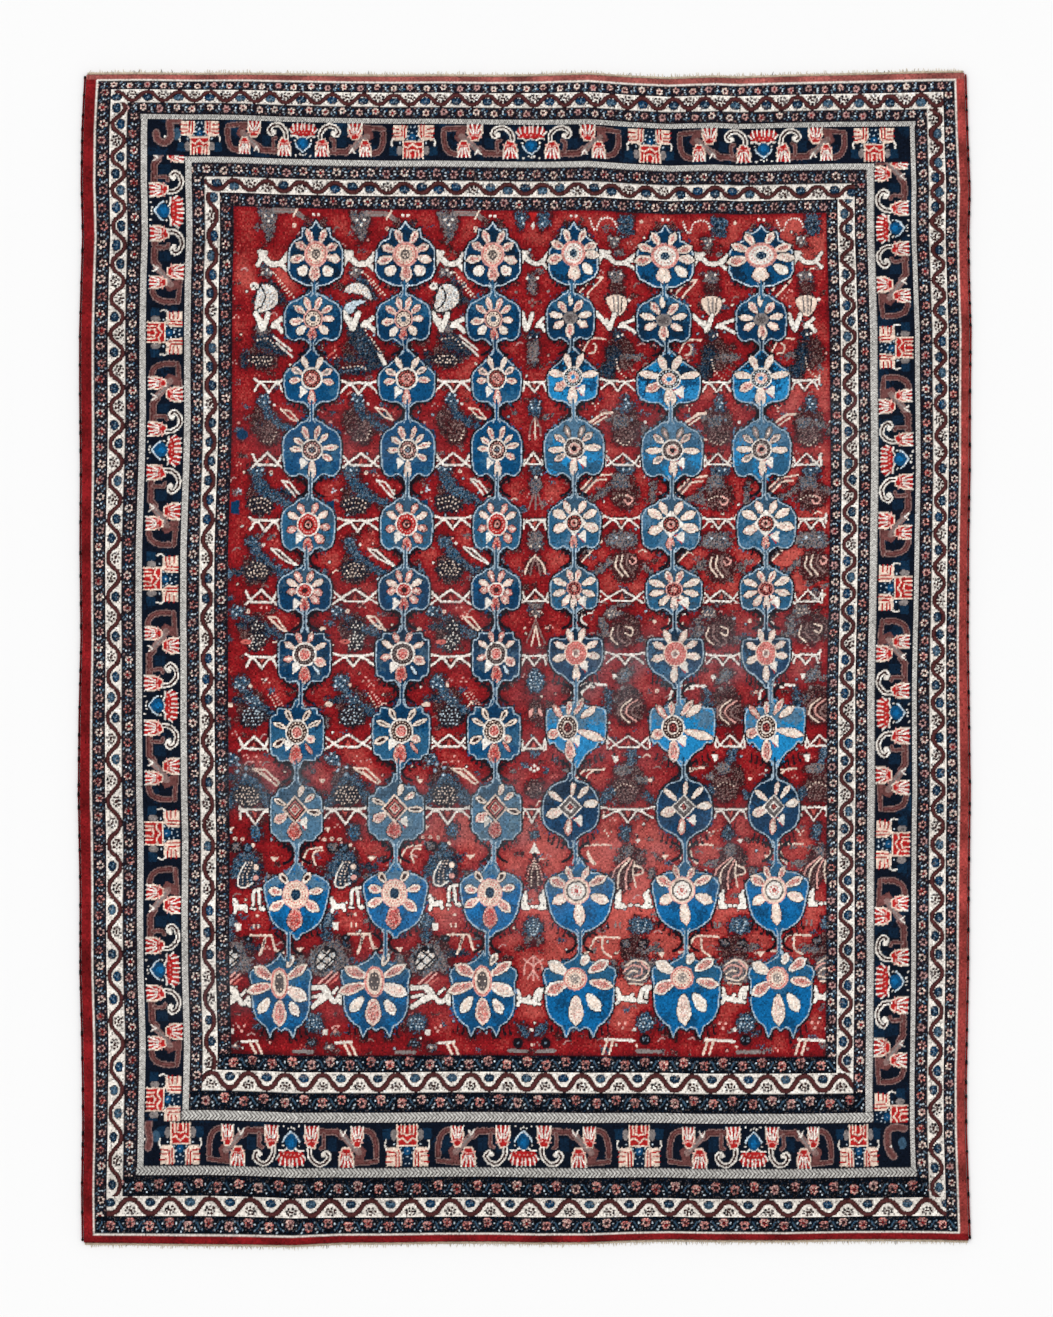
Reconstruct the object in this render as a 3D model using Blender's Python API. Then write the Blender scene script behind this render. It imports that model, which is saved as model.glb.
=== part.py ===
"""A hand-knotted village rug, lying flat: pile sheet, overcast side cords and short end fringes.

Metres, +Z up. The origin is at the middle of the rug's underside, +Y runs along the warps towards
the end that the pattern's plants grow to, and +X runs to the right of someone who looks along +Y.
"""
import random

import bmesh
import bpy
from mathutils import Vector

MM = 0.001

# Driving dimensions
WIDTH = 1.531                  # knotted width, without the side cords
LENGTH = 2.015                 # knotted length, without the end webs
PILE_TOP = 0.0080              # foundation and pile together
PILE_EDGE_TOP = 0.0066         # the pile leans down to this along its rim
RIM = 0.006                    # how far in that lean starts
FOOT_WEAR = 0.0008             # how much lower the pile is at the middle of the rug
GAP = 0.0003                   # between pieces that touch

CORD_WIDTH = 0.0044            # overcast side cord
CORD_HEIGHT = 0.0056
CORD_SIDES = 8
OCTAGON_FLAT = 0.2071          # half of an octagon's flat side, as a share of its width

WEB_WIDTH = 0.0040             # plain woven strip at each end
WEB_THICKNESS = 0.0018
WEB_INSET = 0.0015             # the web stops this far short of the rug's sides
LOCKS = 140                    # locks of warp ends at each end of the rug
LOCK_SHARE = 0.55              # of the pitch that a lock's root takes
LOCK_TIP_SHARE = 0.28          # of the pitch that its tip takes
LOCK_TIP_THICKNESS = 0.0010
LOCK_SHORTEST = 0.0040
LOCK_LONGEST = 0.0072
LOCK_LEAN = 0.0022             # the most that a tip swings to one side
FRINGE_SEED = 41

CRIMSON_WOOL = (0.30, 0.030, 0.028)
CORD_WOOL = (0.150, 0.011, 0.012)
CREAM_COTTON = (0.72, 0.66, 0.54)
WOOL_ROUGHNESS = 0.95
YARN_ROUGHNESS = 0.9

# How far the woven edge stands out from the nominal rectangle, in mm: the sides at places along
# the rug (y) and the ends at places across it (x).
SIDE_COLUMNS = ("y", "left", "right")
SIDE_WAVER = (
    (-1007.5, -3.0, 2.0),
    (-920.0, -1.7, -0.7),
    (-820.0, -3.6, -4.2),
    (-730.0, -3.2, -4.7),
    (-640.0, -1.6, -3.0),
    (-540.0, 1.0, -1.0),
    (-400.0, 0.9, -0.2),
    (-230.0, 4.0, 2.1),
    (-100.0, 2.7, 0.4),
    (35.0, -0.6, -1.6),
    (200.0, 1.0, -0.6),
    (330.0, 0.2, 1.8),
    (460.0, 1.6, 2.2),
    (560.0, 1.7, 3.4),
    (650.0, -0.8, 0.6),
    (725.0, -3.4, -0.5),
    (810.0, -1.0, 1.7),
    (900.0, -2.3, -2.0),
    (1007.5, -7.5, -5.5),
)
END_COLUMNS = ("x", "bottom", "top")
END_WAVER = (
    (-765.5, 2.0, 2.2),
    (-670.0, 2.7, 2.8),
    (-580.0, 4.1, 1.6),
    (-490.0, 4.8, 2.2),
    (-405.0, 6.3, 0.9),
    (-320.0, 1.7, -0.6),
    (-230.0, 1.4, -1.2),
    (-150.0, 0.1, -0.6),
    (-60.0, -0.2, -1.5),
    (20.0, 1.4, -0.4),
    (110.0, 0.9, 2.4),
    (180.0, -2.2, -2.6),
    (250.0, -3.8, -5.6),
    (330.0, -2.6, -2.6),
    (370.0, -2.6, -4.2),
    (450.0, -2.2, -1.4),
    (540.0, -4.1, 0.6),
    (630.0, -4.3, 2.7),
    (700.0, -3.6, 4.8),
    (765.5, -1.7, 5.6),
)


def waver_rows(table, columns):
    """The table's rows as dictionaries, in metres."""
    return [{name: value * MM for name, value in zip(columns, row)} for row in table]


SIDES = waver_rows(SIDE_WAVER, SIDE_COLUMNS)
ENDS = waver_rows(END_WAVER, END_COLUMNS)


def read_table(rows, key, at, name):
    """A column's value at a place, straight between the rows and level past the ends."""
    if at <= rows[0][key]:
        return rows[0][name]
    for low, high in zip(rows, rows[1:]):
        if at <= high[key]:
            share = (at - low[key]) / (high[key] - low[key])
            return low[name] + share * (high[name] - low[name])
    return rows[-1][name]


def clamp(value):
    return min(max(value, 0.0), 1.0)


def woven_point(x, y):
    """Where uneven weaving really puts a point of the nominal rectangle, seen from above."""
    across = clamp(x / WIDTH + 0.5)
    along = clamp(y / LENGTH + 0.5)
    left = read_table(SIDES, "y", y, "left")
    right = read_table(SIDES, "y", y, "right")
    bottom = read_table(ENDS, "x", x, "bottom")
    top = read_table(ENDS, "x", x, "top")
    return (x - left * (1.0 - across) + right * across,
            y - bottom * (1.0 - along) + top * along)


def pile_height(x, y):
    """The pile's height: leaning down at the rim, worn a little where feet pass."""
    to_side = WIDTH / 2 - abs(x)
    to_end = LENGTH / 2 - abs(y)
    if min(to_side, to_end) < RIM / 2:
        return PILE_EDGE_TOP
    middle = clamp(1.0 - (2 * x / WIDTH) ** 2) * clamp(1.0 - (2 * y / LENGTH) ** 2)
    return PILE_TOP - FOOT_WEAR * middle


def stations(rows, key, half):
    """The rows' own places, the middles between them, and one more just inside each rim."""
    places = [-half, -half + RIM]
    for low, high in zip(rows, rows[1:]):
        places.append((low[key] + high[key]) / 2)
        places.append(high[key])
    places[-1] = half - RIM
    places.append(half)
    return places


def add_material(thing, name, colour, roughness):
    material = bpy.data.materials.new(name)
    material.use_nodes = True
    shader = material.node_tree.nodes["Principled BSDF"]
    shader.inputs["Base Color"].default_value = (*colour, 1.0)
    shader.inputs["Roughness"].default_value = roughness
    shader.inputs["Metallic"].default_value = 0.0
    thing.data.materials.append(material)


def add_object(name, shape, colour, roughness):
    """Turn a bmesh into a named object with its own material."""
    bmesh.ops.recalc_face_normals(shape, faces=shape.faces)
    mesh = bpy.data.meshes.new(name)
    shape.to_mesh(mesh)
    shape.free()
    thing = bpy.data.objects.new(name, mesh)
    bpy.context.scene.collection.objects.link(thing)
    add_material(thing, name, colour, roughness)
    return thing


def make_sheet():
    """The pile and its foundation: one flat piece, level underneath."""
    shape = bmesh.new()
    across = stations(ENDS, "x", WIDTH / 2)
    along = stations(SIDES, "y", LENGTH / 2)
    under = []
    over = []
    for y in along:
        places = [woven_point(x, y) for x in across]
        under.append([shape.verts.new((px, py, 0.0)) for px, py in places])
        over.append([shape.verts.new((px, py, pile_height(x, y)))
                     for x, (px, py) in zip(across, places)])
    for row in range(len(along) - 1):
        for column in range(len(across) - 1):
            for grid in (under, over):
                shape.faces.new((grid[row][column], grid[row][column + 1],
                                 grid[row + 1][column + 1], grid[row + 1][column]))
    rim_under = rim_loop(under)
    rim_over = rim_loop(over)
    for place in range(len(rim_under)):
        after = (place + 1) % len(rim_under)
        shape.faces.new((rim_under[place], rim_under[after], rim_over[after], rim_over[place]))
    return add_object("rug_sheet", shape, CRIMSON_WOOL, WOOL_ROUGHNESS)


def rim_loop(grid):
    """The outermost points of a grid of points, in order round it."""
    near = grid[0]
    right = [row[-1] for row in grid[1:]]
    far = grid[-1][-2::-1]
    left = [row[0] for row in grid[-2:0:-1]]
    return near + right + far + left


def cord_ring(shape, x, y):
    """One round of a side cord: an oval with flat sides, its underside on the floor."""
    ring = []
    reach = CORD_WIDTH * OCTAGON_FLAT
    rise = CORD_HEIGHT * OCTAGON_FLAT
    corners = ((reach, 0.0), (CORD_WIDTH / 2, CORD_HEIGHT / 2 - rise),
               (CORD_WIDTH / 2, CORD_HEIGHT / 2 + rise), (reach, CORD_HEIGHT))
    for dx, z in corners:
        ring.append(shape.verts.new((x + dx, y, z)))
    for dx, z in reversed(corners):
        ring.append(shape.verts.new((x - dx, y, z)))
    return ring


def make_selvedge(name, side):
    """The cord overcast along one side: side is -1 for the left one and 1 for the right one."""
    shape = bmesh.new()
    rings = []
    for y in stations(SIDES, "y", LENGTH / 2):
        edge_x, edge_y = woven_point(side * WIDTH / 2, y)
        rings.append(cord_ring(shape, edge_x + side * (GAP + CORD_WIDTH / 2), edge_y))
    for low, high in zip(rings, rings[1:]):
        for place in range(CORD_SIDES):
            after = (place + 1) % CORD_SIDES
            shape.faces.new((low[place], low[after], high[after], high[place]))
    shape.faces.new(rings[0])
    shape.faces.new(rings[-1])
    return add_object(name, shape, CORD_WOOL, YARN_ROUGHNESS)


def web_column(shape, x, end):
    """The web's corners at one place across the rug: inner low, inner high, outer high, outer low."""
    inner = end * (LENGTH / 2 + GAP)
    outer = inner + end * WEB_WIDTH
    inner_x, inner_y = woven_point(x, inner)
    outer_x, outer_y = woven_point(x, outer)
    return [shape.verts.new((inner_x, inner_y, 0.0)),
            shape.verts.new((inner_x, inner_y, WEB_THICKNESS)),
            shape.verts.new((outer_x, outer_y, WEB_THICKNESS)),
            shape.verts.new((outer_x, outer_y, 0.0))]


def add_lock(shape, low, high, pitch, end, draws):
    """One lock of warp ends, grown from the web's outer face between two columns."""
    length = draws.uniform(LOCK_SHORTEST, LOCK_LONGEST)
    lean = draws.uniform(-LOCK_LEAN, LOCK_LEAN)
    root = [low[2], low[3], high[3], high[2]]
    middle = (low[2].co + high[2].co) / 2
    half = pitch * LOCK_TIP_SHARE / 2
    tip_y = middle.y + end * length
    tip = []
    for dx, z in ((-half, LOCK_TIP_THICKNESS), (-half, 0.0), (half, 0.0), (half, LOCK_TIP_THICKNESS)):
        tip.append(shape.verts.new(Vector((middle.x + lean + dx, tip_y, z))))
    for place in range(4):
        after = (place + 1) % 4
        shape.faces.new((root[place], root[after], tip[after], tip[place]))
    shape.faces.new(tip)


def make_fringe(name, end, draws):
    """An end web with its locks: end is -1 at the bottom of the rug and 1 at its top."""
    shape = bmesh.new()
    first = -WIDTH / 2 + WEB_INSET
    pitch = (WIDTH - 2 * WEB_INSET) / LOCKS
    margin = pitch * (1.0 - LOCK_SHARE) / 2
    places = [first]
    for lock in range(LOCKS):
        places.append(first + lock * pitch + margin)
        places.append(first + (lock + 1) * pitch - margin)
    places.append(first + LOCKS * pitch)
    columns = [web_column(shape, x, end) for x in places]
    for step, (low, high) in enumerate(zip(columns, columns[1:])):
        for corner in (3, 0, 1):
            after = (corner + 1) % 4
            shape.faces.new((low[corner], low[after], high[after], high[corner]))
        if step % 2:
            add_lock(shape, low, high, pitch, end, draws)
        else:
            shape.faces.new((low[2], low[3], high[3], high[2]))
    shape.faces.new(columns[0])
    shape.faces.new(columns[-1])
    return add_object(name, shape, CREAM_COTTON, YARN_ROUGHNESS)


def centre_on_origin(things):
    """Slide the finished rug so that the middle of its whole outline is the origin."""
    corners = [vertex.co for thing in things for vertex in thing.data.vertices]
    shift = Vector((-(min(c.x for c in corners) + max(c.x for c in corners)) / 2,
                    -(min(c.y for c in corners) + max(c.y for c in corners)) / 2, 0.0))
    for thing in things:
        for vertex in thing.data.vertices:
            vertex.co += shift
        thing.data.update()


def main():
    for thing in list(bpy.data.objects):
        bpy.data.objects.remove(thing, do_unlink=True)
    draws = random.Random(FRINGE_SEED)
    things = [
        make_sheet(),
        make_selvedge("selvedge_left", -1),
        make_selvedge("selvedge_right", 1),
        make_fringe("fringe_bottom", -1, draws),
        make_fringe("fringe_top", 1, draws),
    ]
    centre_on_origin(things)


main()
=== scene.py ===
import math
import random

import bpy
import numpy as np
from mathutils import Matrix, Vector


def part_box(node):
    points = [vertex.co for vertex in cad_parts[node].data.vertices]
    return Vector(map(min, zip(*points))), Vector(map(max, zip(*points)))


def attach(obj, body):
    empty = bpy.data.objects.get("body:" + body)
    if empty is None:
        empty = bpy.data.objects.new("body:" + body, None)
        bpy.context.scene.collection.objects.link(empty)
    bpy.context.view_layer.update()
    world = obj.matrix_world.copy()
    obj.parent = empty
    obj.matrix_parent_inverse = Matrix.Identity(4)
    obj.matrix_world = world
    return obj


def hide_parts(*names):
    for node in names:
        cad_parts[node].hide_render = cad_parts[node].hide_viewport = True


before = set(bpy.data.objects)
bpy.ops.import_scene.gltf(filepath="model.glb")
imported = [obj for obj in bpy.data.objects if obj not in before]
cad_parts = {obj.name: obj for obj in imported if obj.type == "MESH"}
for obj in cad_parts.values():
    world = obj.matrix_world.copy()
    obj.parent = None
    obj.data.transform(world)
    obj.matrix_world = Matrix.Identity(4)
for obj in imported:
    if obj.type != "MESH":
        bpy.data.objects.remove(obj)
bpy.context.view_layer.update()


# ---- The weaver's chart, in mm from the rug's middle, +y up the rug ----

WIDTH = 1531.0                 # knotted width, as in the frame's sheet
LENGTH = 2015.0
COLUMNS = 576                  # knots across
ROWS = 723                     # knots along
KNOT_WIDE = WIDTH / COLUMNS
KNOT_TALL = LENGTH / ROWS
CELLS = 2                      # chart cells to a knot, each way, so that an outline can run across a knot
CELL_WIDE = KNOT_WIDE / CELLS
CELL_TALL = KNOT_TALL / CELLS
PX = 1.729                     # mm of rug that one pixel of the photograph's frame shows

# Yarn colours, as sRGB bytes
YARNS = {
    "crimson": (140, 22, 28),
    "brick": (186, 84, 76),
    "dim_red": (84, 18, 24),
    "maroon": (72, 22, 28),
    "edge_red": (132, 26, 30),
    "edge_brick": (164, 66, 62),
    "edge_pink": (164, 90, 84),
    "stone": (206, 204, 198),
    "blush": (190, 146, 142),
    "cherry": (176, 34, 34),
    "rose": (200, 100, 92),
    "salmon": (226, 166, 156),
    "ivory": (240, 232, 222),
    "cream": (236, 212, 194),
    "ash": (132, 124, 122),
    "soot": (88, 80, 80),
    "night": (10, 18, 32),
    "ink": (22, 18, 26),
    "guard": (26, 18, 24),
    "pitch": (4, 6, 14),
    "dusk": (12, 32, 52),
    "navy": (14, 42, 66),
    "deep": (10, 54, 88),
    "blue": (12, 72, 114),
    "bright": (14, 98, 154),
    "azure": (32, 130, 186),
    "mid": (42, 92, 126),
    "slate": (56, 84, 106),
    "steel": (80, 118, 146),
    "haze": (92, 120, 138),
    "mist": (120, 140, 156),
    "frost": (168, 188, 202),
    "pale": (204, 220, 230),
    "bark": (82, 42, 42),
    "mauve": (108, 66, 64),
    "drab": (136, 108, 104),
    "umber": (52, 26, 26),
}
INK = {name: number for number, name in enumerate(YARNS)}
# Fine hatching, seen as a mixture: cells take these yarns in the order of the chart's random grain
MIXES = {
    "feather": ("slate", "dusk", "mid", "soot", "dusk", "slate", "mist", "night"),
    "plume": ("slate", "mist", "mid", "slate", "dusk", "haze"),
    "shadow": ("dusk", "night", "navy", "soot", "night", "slate"),
    "smoke": ("ash", "soot", "drab", "night", "ash", "slate"),
    "soil": ("umber", "maroon", "drab", "ink", "umber", "bark"),
    "dim": ("umber", "maroon", "maroon", "dim_red"),
    "quilt": ("ivory", "cream", "pale", "ash", "ivory"),
    "pinks": ("salmon", "rose", "mauve", "rose", "salmon", "blush", "cream"),
    "dusty": ("blush", "mauve", "cream", "drab", "salmon", "blush"),
    "faded": ("mauve", "rose", "drab", "blush", "mauve", "salmon"),
    "berry": ("rose", "cherry", "salmon", "mauve", "rose", "cherry"),
    "petals": ("salmon", "cream", "blush", "cream", "cream", "ivory", "ivory"),
    "shell": ("cream", "ivory", "cream", "cream", "ivory"),
    "murk": ("night", "ink", "dusk", "soot", "ink", "umber"),
}
SOFT_MIXES = ("feather", "plume", "shadow", "smoke", "soil", "dim", "murk")
SOFT_STRAY = 3.8               # how far the soft mixtures' edges stray, in mm
CRISP_STRAY = 0.5              # the same for all other yarns
BLOB_CORNERS = 20
GRAINS = 840                   # a multiple of the lengths of the mixtures


def inside_area(x, y, points):
    """Which of the places in x and y are inside a closed outline."""
    inside = np.zeros(np.broadcast_shapes(x.shape, y.shape), bool)
    for (ax, ay), (bx, by) in zip(points, np.roll(points, -1, axis=0)):
        if ay == by:
            continue
        crossed = (y > min(ay, by)) & (y <= max(ay, by))
        inside ^= crossed & (x < ax + (y - ay) * (bx - ax) / (by - ay))
    return inside


def near_line(x, y, points, reach):
    """Which of the places in x and y lie within reach of a line through the points."""
    near = np.zeros(np.broadcast_shapes(x.shape, y.shape), bool)
    for (ax, ay), (bx, by) in zip(points, points[1:]):
        dx, dy = bx - ax, by - ay
        share = np.clip(((x - ax) * dx + (y - ay) * dy) / max(dx * dx + dy * dy, 1e-9), 0.0, 1.0)
        near |= (x - ax - share * dx) ** 2 + (y - ay - share * dy) ** 2 <= reach * reach
    return near


def smooth(points, closed=False, steps=5):
    """A rounded curve through the points."""
    points = np.asarray(points, float)
    if closed:
        around = np.vstack([points[-1], points, points[:2]])
    else:
        around = np.vstack([2 * points[0] - points[1], points, 2 * points[-1] - points[-2]])
    t = np.linspace(0.0, 1.0, steps, endpoint=False)[:, None]
    curve = []
    for a, b, c, d in zip(around, around[1:], around[2:], around[3:]):
        curve.append(0.5 * (2 * b + (c - a) * t + (2 * a - 5 * b + 4 * c - d) * t ** 2
                            + (3 * b - a - 3 * c + d) * t ** 3))
    if not closed:
        curve.append(points[-1:])
    return np.vstack(curve)


def ripple(x, y, draws, length):
    """A smooth random waviness between about -2 and 2, for patches of a second yarn."""
    total = 0.0
    for _ in range(4):
        turn = draws.uniform(0, math.pi)
        phase = draws.uniform(0, 2 * math.pi)
        pitch = length * draws.uniform(0.7, 1.4)
        total = total + np.sin((x * math.cos(turn) + y * math.sin(turn)) * 2 * math.pi / pitch + phase)
    return total / 2.2


def uneven(shape, seed):
    """Smooth noise over the chart's cells, between -1.4 and 1.4."""
    noise = np.random.default_rng(seed).normal(0, 1, shape)
    noise = noise + np.roll(noise, 1, axis=0) + np.roll(noise, -1, axis=0)
    noise = noise + np.roll(noise, 1, axis=1) + np.roll(noise, -1, axis=1)
    return np.clip(noise / 4.2, -1.4, 1.4)


class Chart:
    """The cells' inks, and where on the chart drawing is allowed just now."""

    def __init__(self):
        self.x = ((np.arange(COLUMNS * CELLS) + 0.5) * CELL_WIDE - WIDTH / 2)[None, :]
        self.y = ((np.arange(ROWS * CELLS) + 0.5) * CELL_TALL - LENGTH / 2)[:, None]
        shape = (ROWS * CELLS, COLUMNS * CELLS)
        self.ink = np.full(shape, INK["crimson"], np.uint8)
        self.keep_to()
        self.grain = np.random.default_rng(3).integers(0, GRAINS, shape)
        self.stray_x = uneven(shape, 5)
        self.stray_y = uneven(shape, 6)

    def keep_to(self, cells=None):
        """Let later drawing reach only these cells, or all of them."""
        self.limit = np.ones(self.ink.shape, bool) if cells is None else cells

    def paint(self, ink, points, test, margin=0.0, stray=None):
        """Ink the cells near the points for which the test says yes, the edge straying by some mm."""
        low = points.min(axis=0) - margin
        high = points.max(axis=0) + margin
        left = max(int((low[0] + WIDTH / 2) / CELL_WIDE) - 1, 0)
        right = max(int((high[0] + WIDTH / 2) / CELL_WIDE) + 2, 0)
        bottom = max(int((low[1] + LENGTH / 2) / CELL_TALL) - 1, 0)
        top = max(int((high[1] + LENGTH / 2) / CELL_TALL) + 2, 0)
        part = (slice(bottom, top), slice(left, right))
        if stray is None:
            stray = SOFT_STRAY if ink in SOFT_MIXES else CRISP_STRAY
        hit = test(self.x[:, left:right] + stray * self.stray_x[part],
                   self.y[bottom:top] + stray * self.stray_y[part]) & self.limit[part]
        yarns = np.array([INK[name] for name in MIXES.get(ink, (ink,))], np.uint8)
        self.ink[part][hit] = yarns[self.grain[part][hit] % len(yarns)]


class Pen:
    """Draws one motif on the chart: the motif's own units, scaled, turned and set at its place."""

    def __init__(self, chart, x, y, wide=1.0, tall=1.0, turn=0.0):
        angle = math.radians(turn)
        turned = np.array([[math.cos(angle), -math.sin(angle)], [math.sin(angle), math.cos(angle)]])
        self.chart = chart
        self.matrix = turned @ np.diag([wide, tall])
        self.place = np.array([x, y])

    def spots(self, points):
        """Where on the chart the motif's points lie."""
        return np.asarray(points, float).reshape(-1, 2) @ self.matrix.T + self.place

    def area(self, ink, points, rounded=False):
        """A filled outline."""
        outline = smooth(points, closed=True) if rounded else points
        outline = self.spots(outline)
        self.chart.paint(ink, outline, lambda x, y: inside_area(x, y, outline))

    def line(self, ink, points, thick, rounded=False, closed=False):
        """A line thick mm wide, whatever the motif's scale."""
        if rounded:
            points = smooth(points, closed)
        spots = self.spots(points)
        if closed:
            spots = np.vstack([spots, spots[:1]])
        reach = thick / 2
        self.chart.paint(ink, spots, lambda x, y: near_line(x, y, spots, reach), reach)

    def blob(self, ink, x, y, half_wide, half_tall, lean=0.0):
        """An oval, leaning by some degrees to the left."""
        turn = np.linspace(0.0, 2 * math.pi, BLOB_CORNERS, endpoint=False)
        tilt = math.radians(lean)
        u, v = half_wide * np.cos(turn), half_tall * np.sin(turn)
        self.area(ink, np.stack([x + u * math.cos(tilt) - v * math.sin(tilt),
                                 y + u * math.sin(tilt) + v * math.cos(tilt)], axis=1))

    def dots(self, ink, points, size):
        """Round dots, size mm across, whatever the motif's scale."""
        for spot in self.spots(points):
            self.chart.paint(ink, spot[None, :],
                             lambda x, y: (x - spot[0]) ** 2 + (y - spot[1]) ** 2 <= size * size / 4, size)


# ---- The border: nested bands, each side with its own widths ----

# Where each band ends, in mm in from that edge of the rug
BAND_COLUMNS = ("name", "ground", "left", "right", "bottom", "top")
BANDS = (
    ("edge", "edge_red", 17.3, 14.4, 12.6, 10.0),
    ("line", "ivory", 20.0, 17.0, 15.4, 12.8),
    ("guard_1", "guard", 42.4, 37.7, 44.1, 30.3),
    ("vine_1", "ivory", 71.1, 65.0, 78.0, 57.4),
    ("guard_2", "guard", 93.9, 86.8, 112.2, 76.4),
    ("stripe_1", "ivory", 106.3, 96.5, 130.0, 86.8),
    ("main", "night", 171.2, 159.2, 208.0, 149.0),
    ("stripe_2", "ivory", 183.6, 172.7, 226.8, 160.5),
    ("guard_3", "guard", 206.6, 194.5, 260.9, 185.3),
    ("vine_2", "ivory", 231.2, 222.7, 295.3, 211.3),
    ("guard_4", "guard", 254.7, 243.4, 324.2, 236.0),
)
SIDE_NAMES = ("left", "right", "bottom", "top")
EDGE_YARNS = {"left": "edge_red", "right": "edge_brick", "bottom": "edge_red", "top": "edge_pink"}
TURNS = {"top": 0.0, "left": 90.0, "bottom": 180.0, "right": 270.0}

# Middles of the main border's figures, in mm along each side from the rug's middle: crowns and fans
# in turn, with a crown first and last
MAIN_PLACES = {
    "top": (-568.0, -385.0, -195.0, 10.7, 216.5, 413.5, 607.0),
    "bottom": (-596.0, -406.0, -204.0, -2.0, 199.0, 398.0, 580.0),
    "left": (-763.0, -536.0, -300.0, -80.0, 138.0, 361.0, 563.0, 764.0, 965.0),
    "right": (-790.0, -562.0, -324.0, -97.0, 119.0, 342.0, 534.0, 744.0, 945.0),
}


def band_limits(name):
    """A band's near and far limits on each side, in mm in from that edge."""
    rows = [dict(zip(BAND_COLUMNS, row)) for row in BANDS]
    number = [row["name"] for row in rows].index(name)
    near = rows[number - 1] if number else dict.fromkeys(SIDE_NAMES, 0.0)
    return {side: (near[side], rows[number][side]) for side in SIDE_NAMES}


def edge_depths(chart):
    """How far each cell is from each edge, in mm."""
    depths = {"left": chart.x + WIDTH / 2, "right": WIDTH / 2 - chart.x,
              "bottom": chart.y + LENGTH / 2, "top": LENGTH / 2 - chart.y}
    return {side: np.broadcast_to(depth, chart.ink.shape) for side, depth in depths.items()}


# How often a dark guard's cells take another yarn: one in so many
GUARD_FLECKS = (("dusk", 7), ("soot", 17))


def lay_bands(chart):
    """Fill the bands with their grounds. Returns each band's cells on each side, and the cells' depths."""
    depths = edge_depths(chart)
    number = np.full(chart.ink.shape, len(BANDS))
    for side in SIDE_NAMES:
        limits = [row[BAND_COLUMNS.index(side)] for row in BANDS]
        number = np.minimum(number, np.searchsorted(limits, depths[side], side="right"))
    knots = {}
    for band, row in enumerate(BANDS):
        name, ground = row[:2]
        here = number == band
        chart.ink[here] = INK[ground]
        limits = band_limits(name)
        for side in ("top", "bottom", "left", "right"):
            mine = here & (depths[side] < limits[side][1])
            knots[name, side] = mine
            here = here & ~mine
            if name == "edge":
                chart.ink[mine] = INK[EDGE_YARNS[side]]
            if ground == "guard":
                if side == "bottom":
                    chart.ink[mine] = INK["pitch"]
                for yarn, one_in in GUARD_FLECKS:
                    chart.ink[mine & (chart.grain % one_in == 0)] = INK[yarn]
    knots["field", "all"] = number == len(BANDS)
    return knots, depths


def side_pen(chart, side, along, depth, wide=1.0, tall=1.0):
    """A pen in the border: u runs along the side and v points out of the rug."""
    place = {
        "left": (depth - WIDTH / 2, along),
        "right": (WIDTH / 2 - depth, along),
        "bottom": (along, depth - LENGTH / 2),
        "top": (along, LENGTH / 2 - depth),
    }[side]
    return Pen(chart, *place, wide, tall, TURNS[side])


def side_run(name, side):
    """Where a band's middle line starts and ends along a side, in mm from the rug's middle."""
    middles = {other: sum(pair) / 2 for other, pair in band_limits(name).items()}
    low, high = ("left", "right") if side in ("bottom", "top") else ("bottom", "top")
    half = (WIDTH if side in ("bottom", "top") else LENGTH) / 2
    return middles[low] - half, half - middles[high]


def stripes(chart, knots, depths):
    """The narrow pale stripes, with a fine herringbone of dark ticks and a dark line each side."""
    for name in ("stripe_1", "stripe_2"):
        for side, (near, far) in band_limits(name).items():
            ends = side in ("bottom", "top")
            cell = CELL_TALL if ends else CELL_WIDE
            run = np.arange(COLUMNS * CELLS)[None, :] if ends else np.arange(ROWS * CELLS)[:, None]
            level = np.floor((depths[side] - near) / cell).astype(int)
            levels = int((far - near) / cell)
            fold = np.abs(2 * level + 1 - levels) // 2
            period, dark = (5, 2) if side == "bottom" else (3, 1)
            band = knots[name, side]
            chart.ink[band] = INK["stone"]
            chart.ink[band & ((run + fold) % period < dark)] = INK["soot" if ends else "ash"]
            chart.ink[band & ((level < 1) | (level >= levels))] = INK["ink"]


# The pale and blue sparks between two rosettes: across, outward and yarn
SPARKS = ((-4.6, 4.0, "mist"), (0.4, -3.6, "pale"), (4.4, 3.2, "mid"), (-1.4, 7.4, "haze"),
          (3.4, -7.8, "mist"), (-4.8, -7.6, "drab"), (1.2, 1.2, "pale"))
SPARK_SIZE = 2.8
# The yarns of the rosettes' rings on each side, and of their eyes
RINGS = {"bottom": ("faded", "pinks", "faded", "dusty"), "left": ("dusty", "faded", "petals"),
         "top": ("petals", "dusty", "petals", "blush"), "right": ("pinks", "petals", "petals", "blush")}
EYES = ("umber", "edge_red", "maroon", "ink")
RING_RADIUS = 5.0
EYE_SIZE = 4.8
ROSETTE_WIDE = 22.0            # a guard's width at which a rosette has its full size
ROSETTE_SCALE_MOST = 1.05


def rosette(pen, ring, core, draws, large):
    """A small flower: a broken ring of six dots round a dark eye, and a large one with a foot."""
    turn = draws.uniform(0, 1)
    size = 4.2 if large else 3.7
    for step in range(6):
        angle = (step + turn) * math.pi / 3
        spot = (RING_RADIUS * math.cos(angle), RING_RADIUS * math.sin(angle))
        pen.dots(ring, [spot], size + draws.uniform(-0.4, 0.4))
    pen.dots(core, [(0, 0)], EYE_SIZE)
    if large:
        pen.line(ring, [(-6.4, -5), (-3.4, -7.4), (3.4, -7.4), (6.4, -5)], 2.6)


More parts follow.
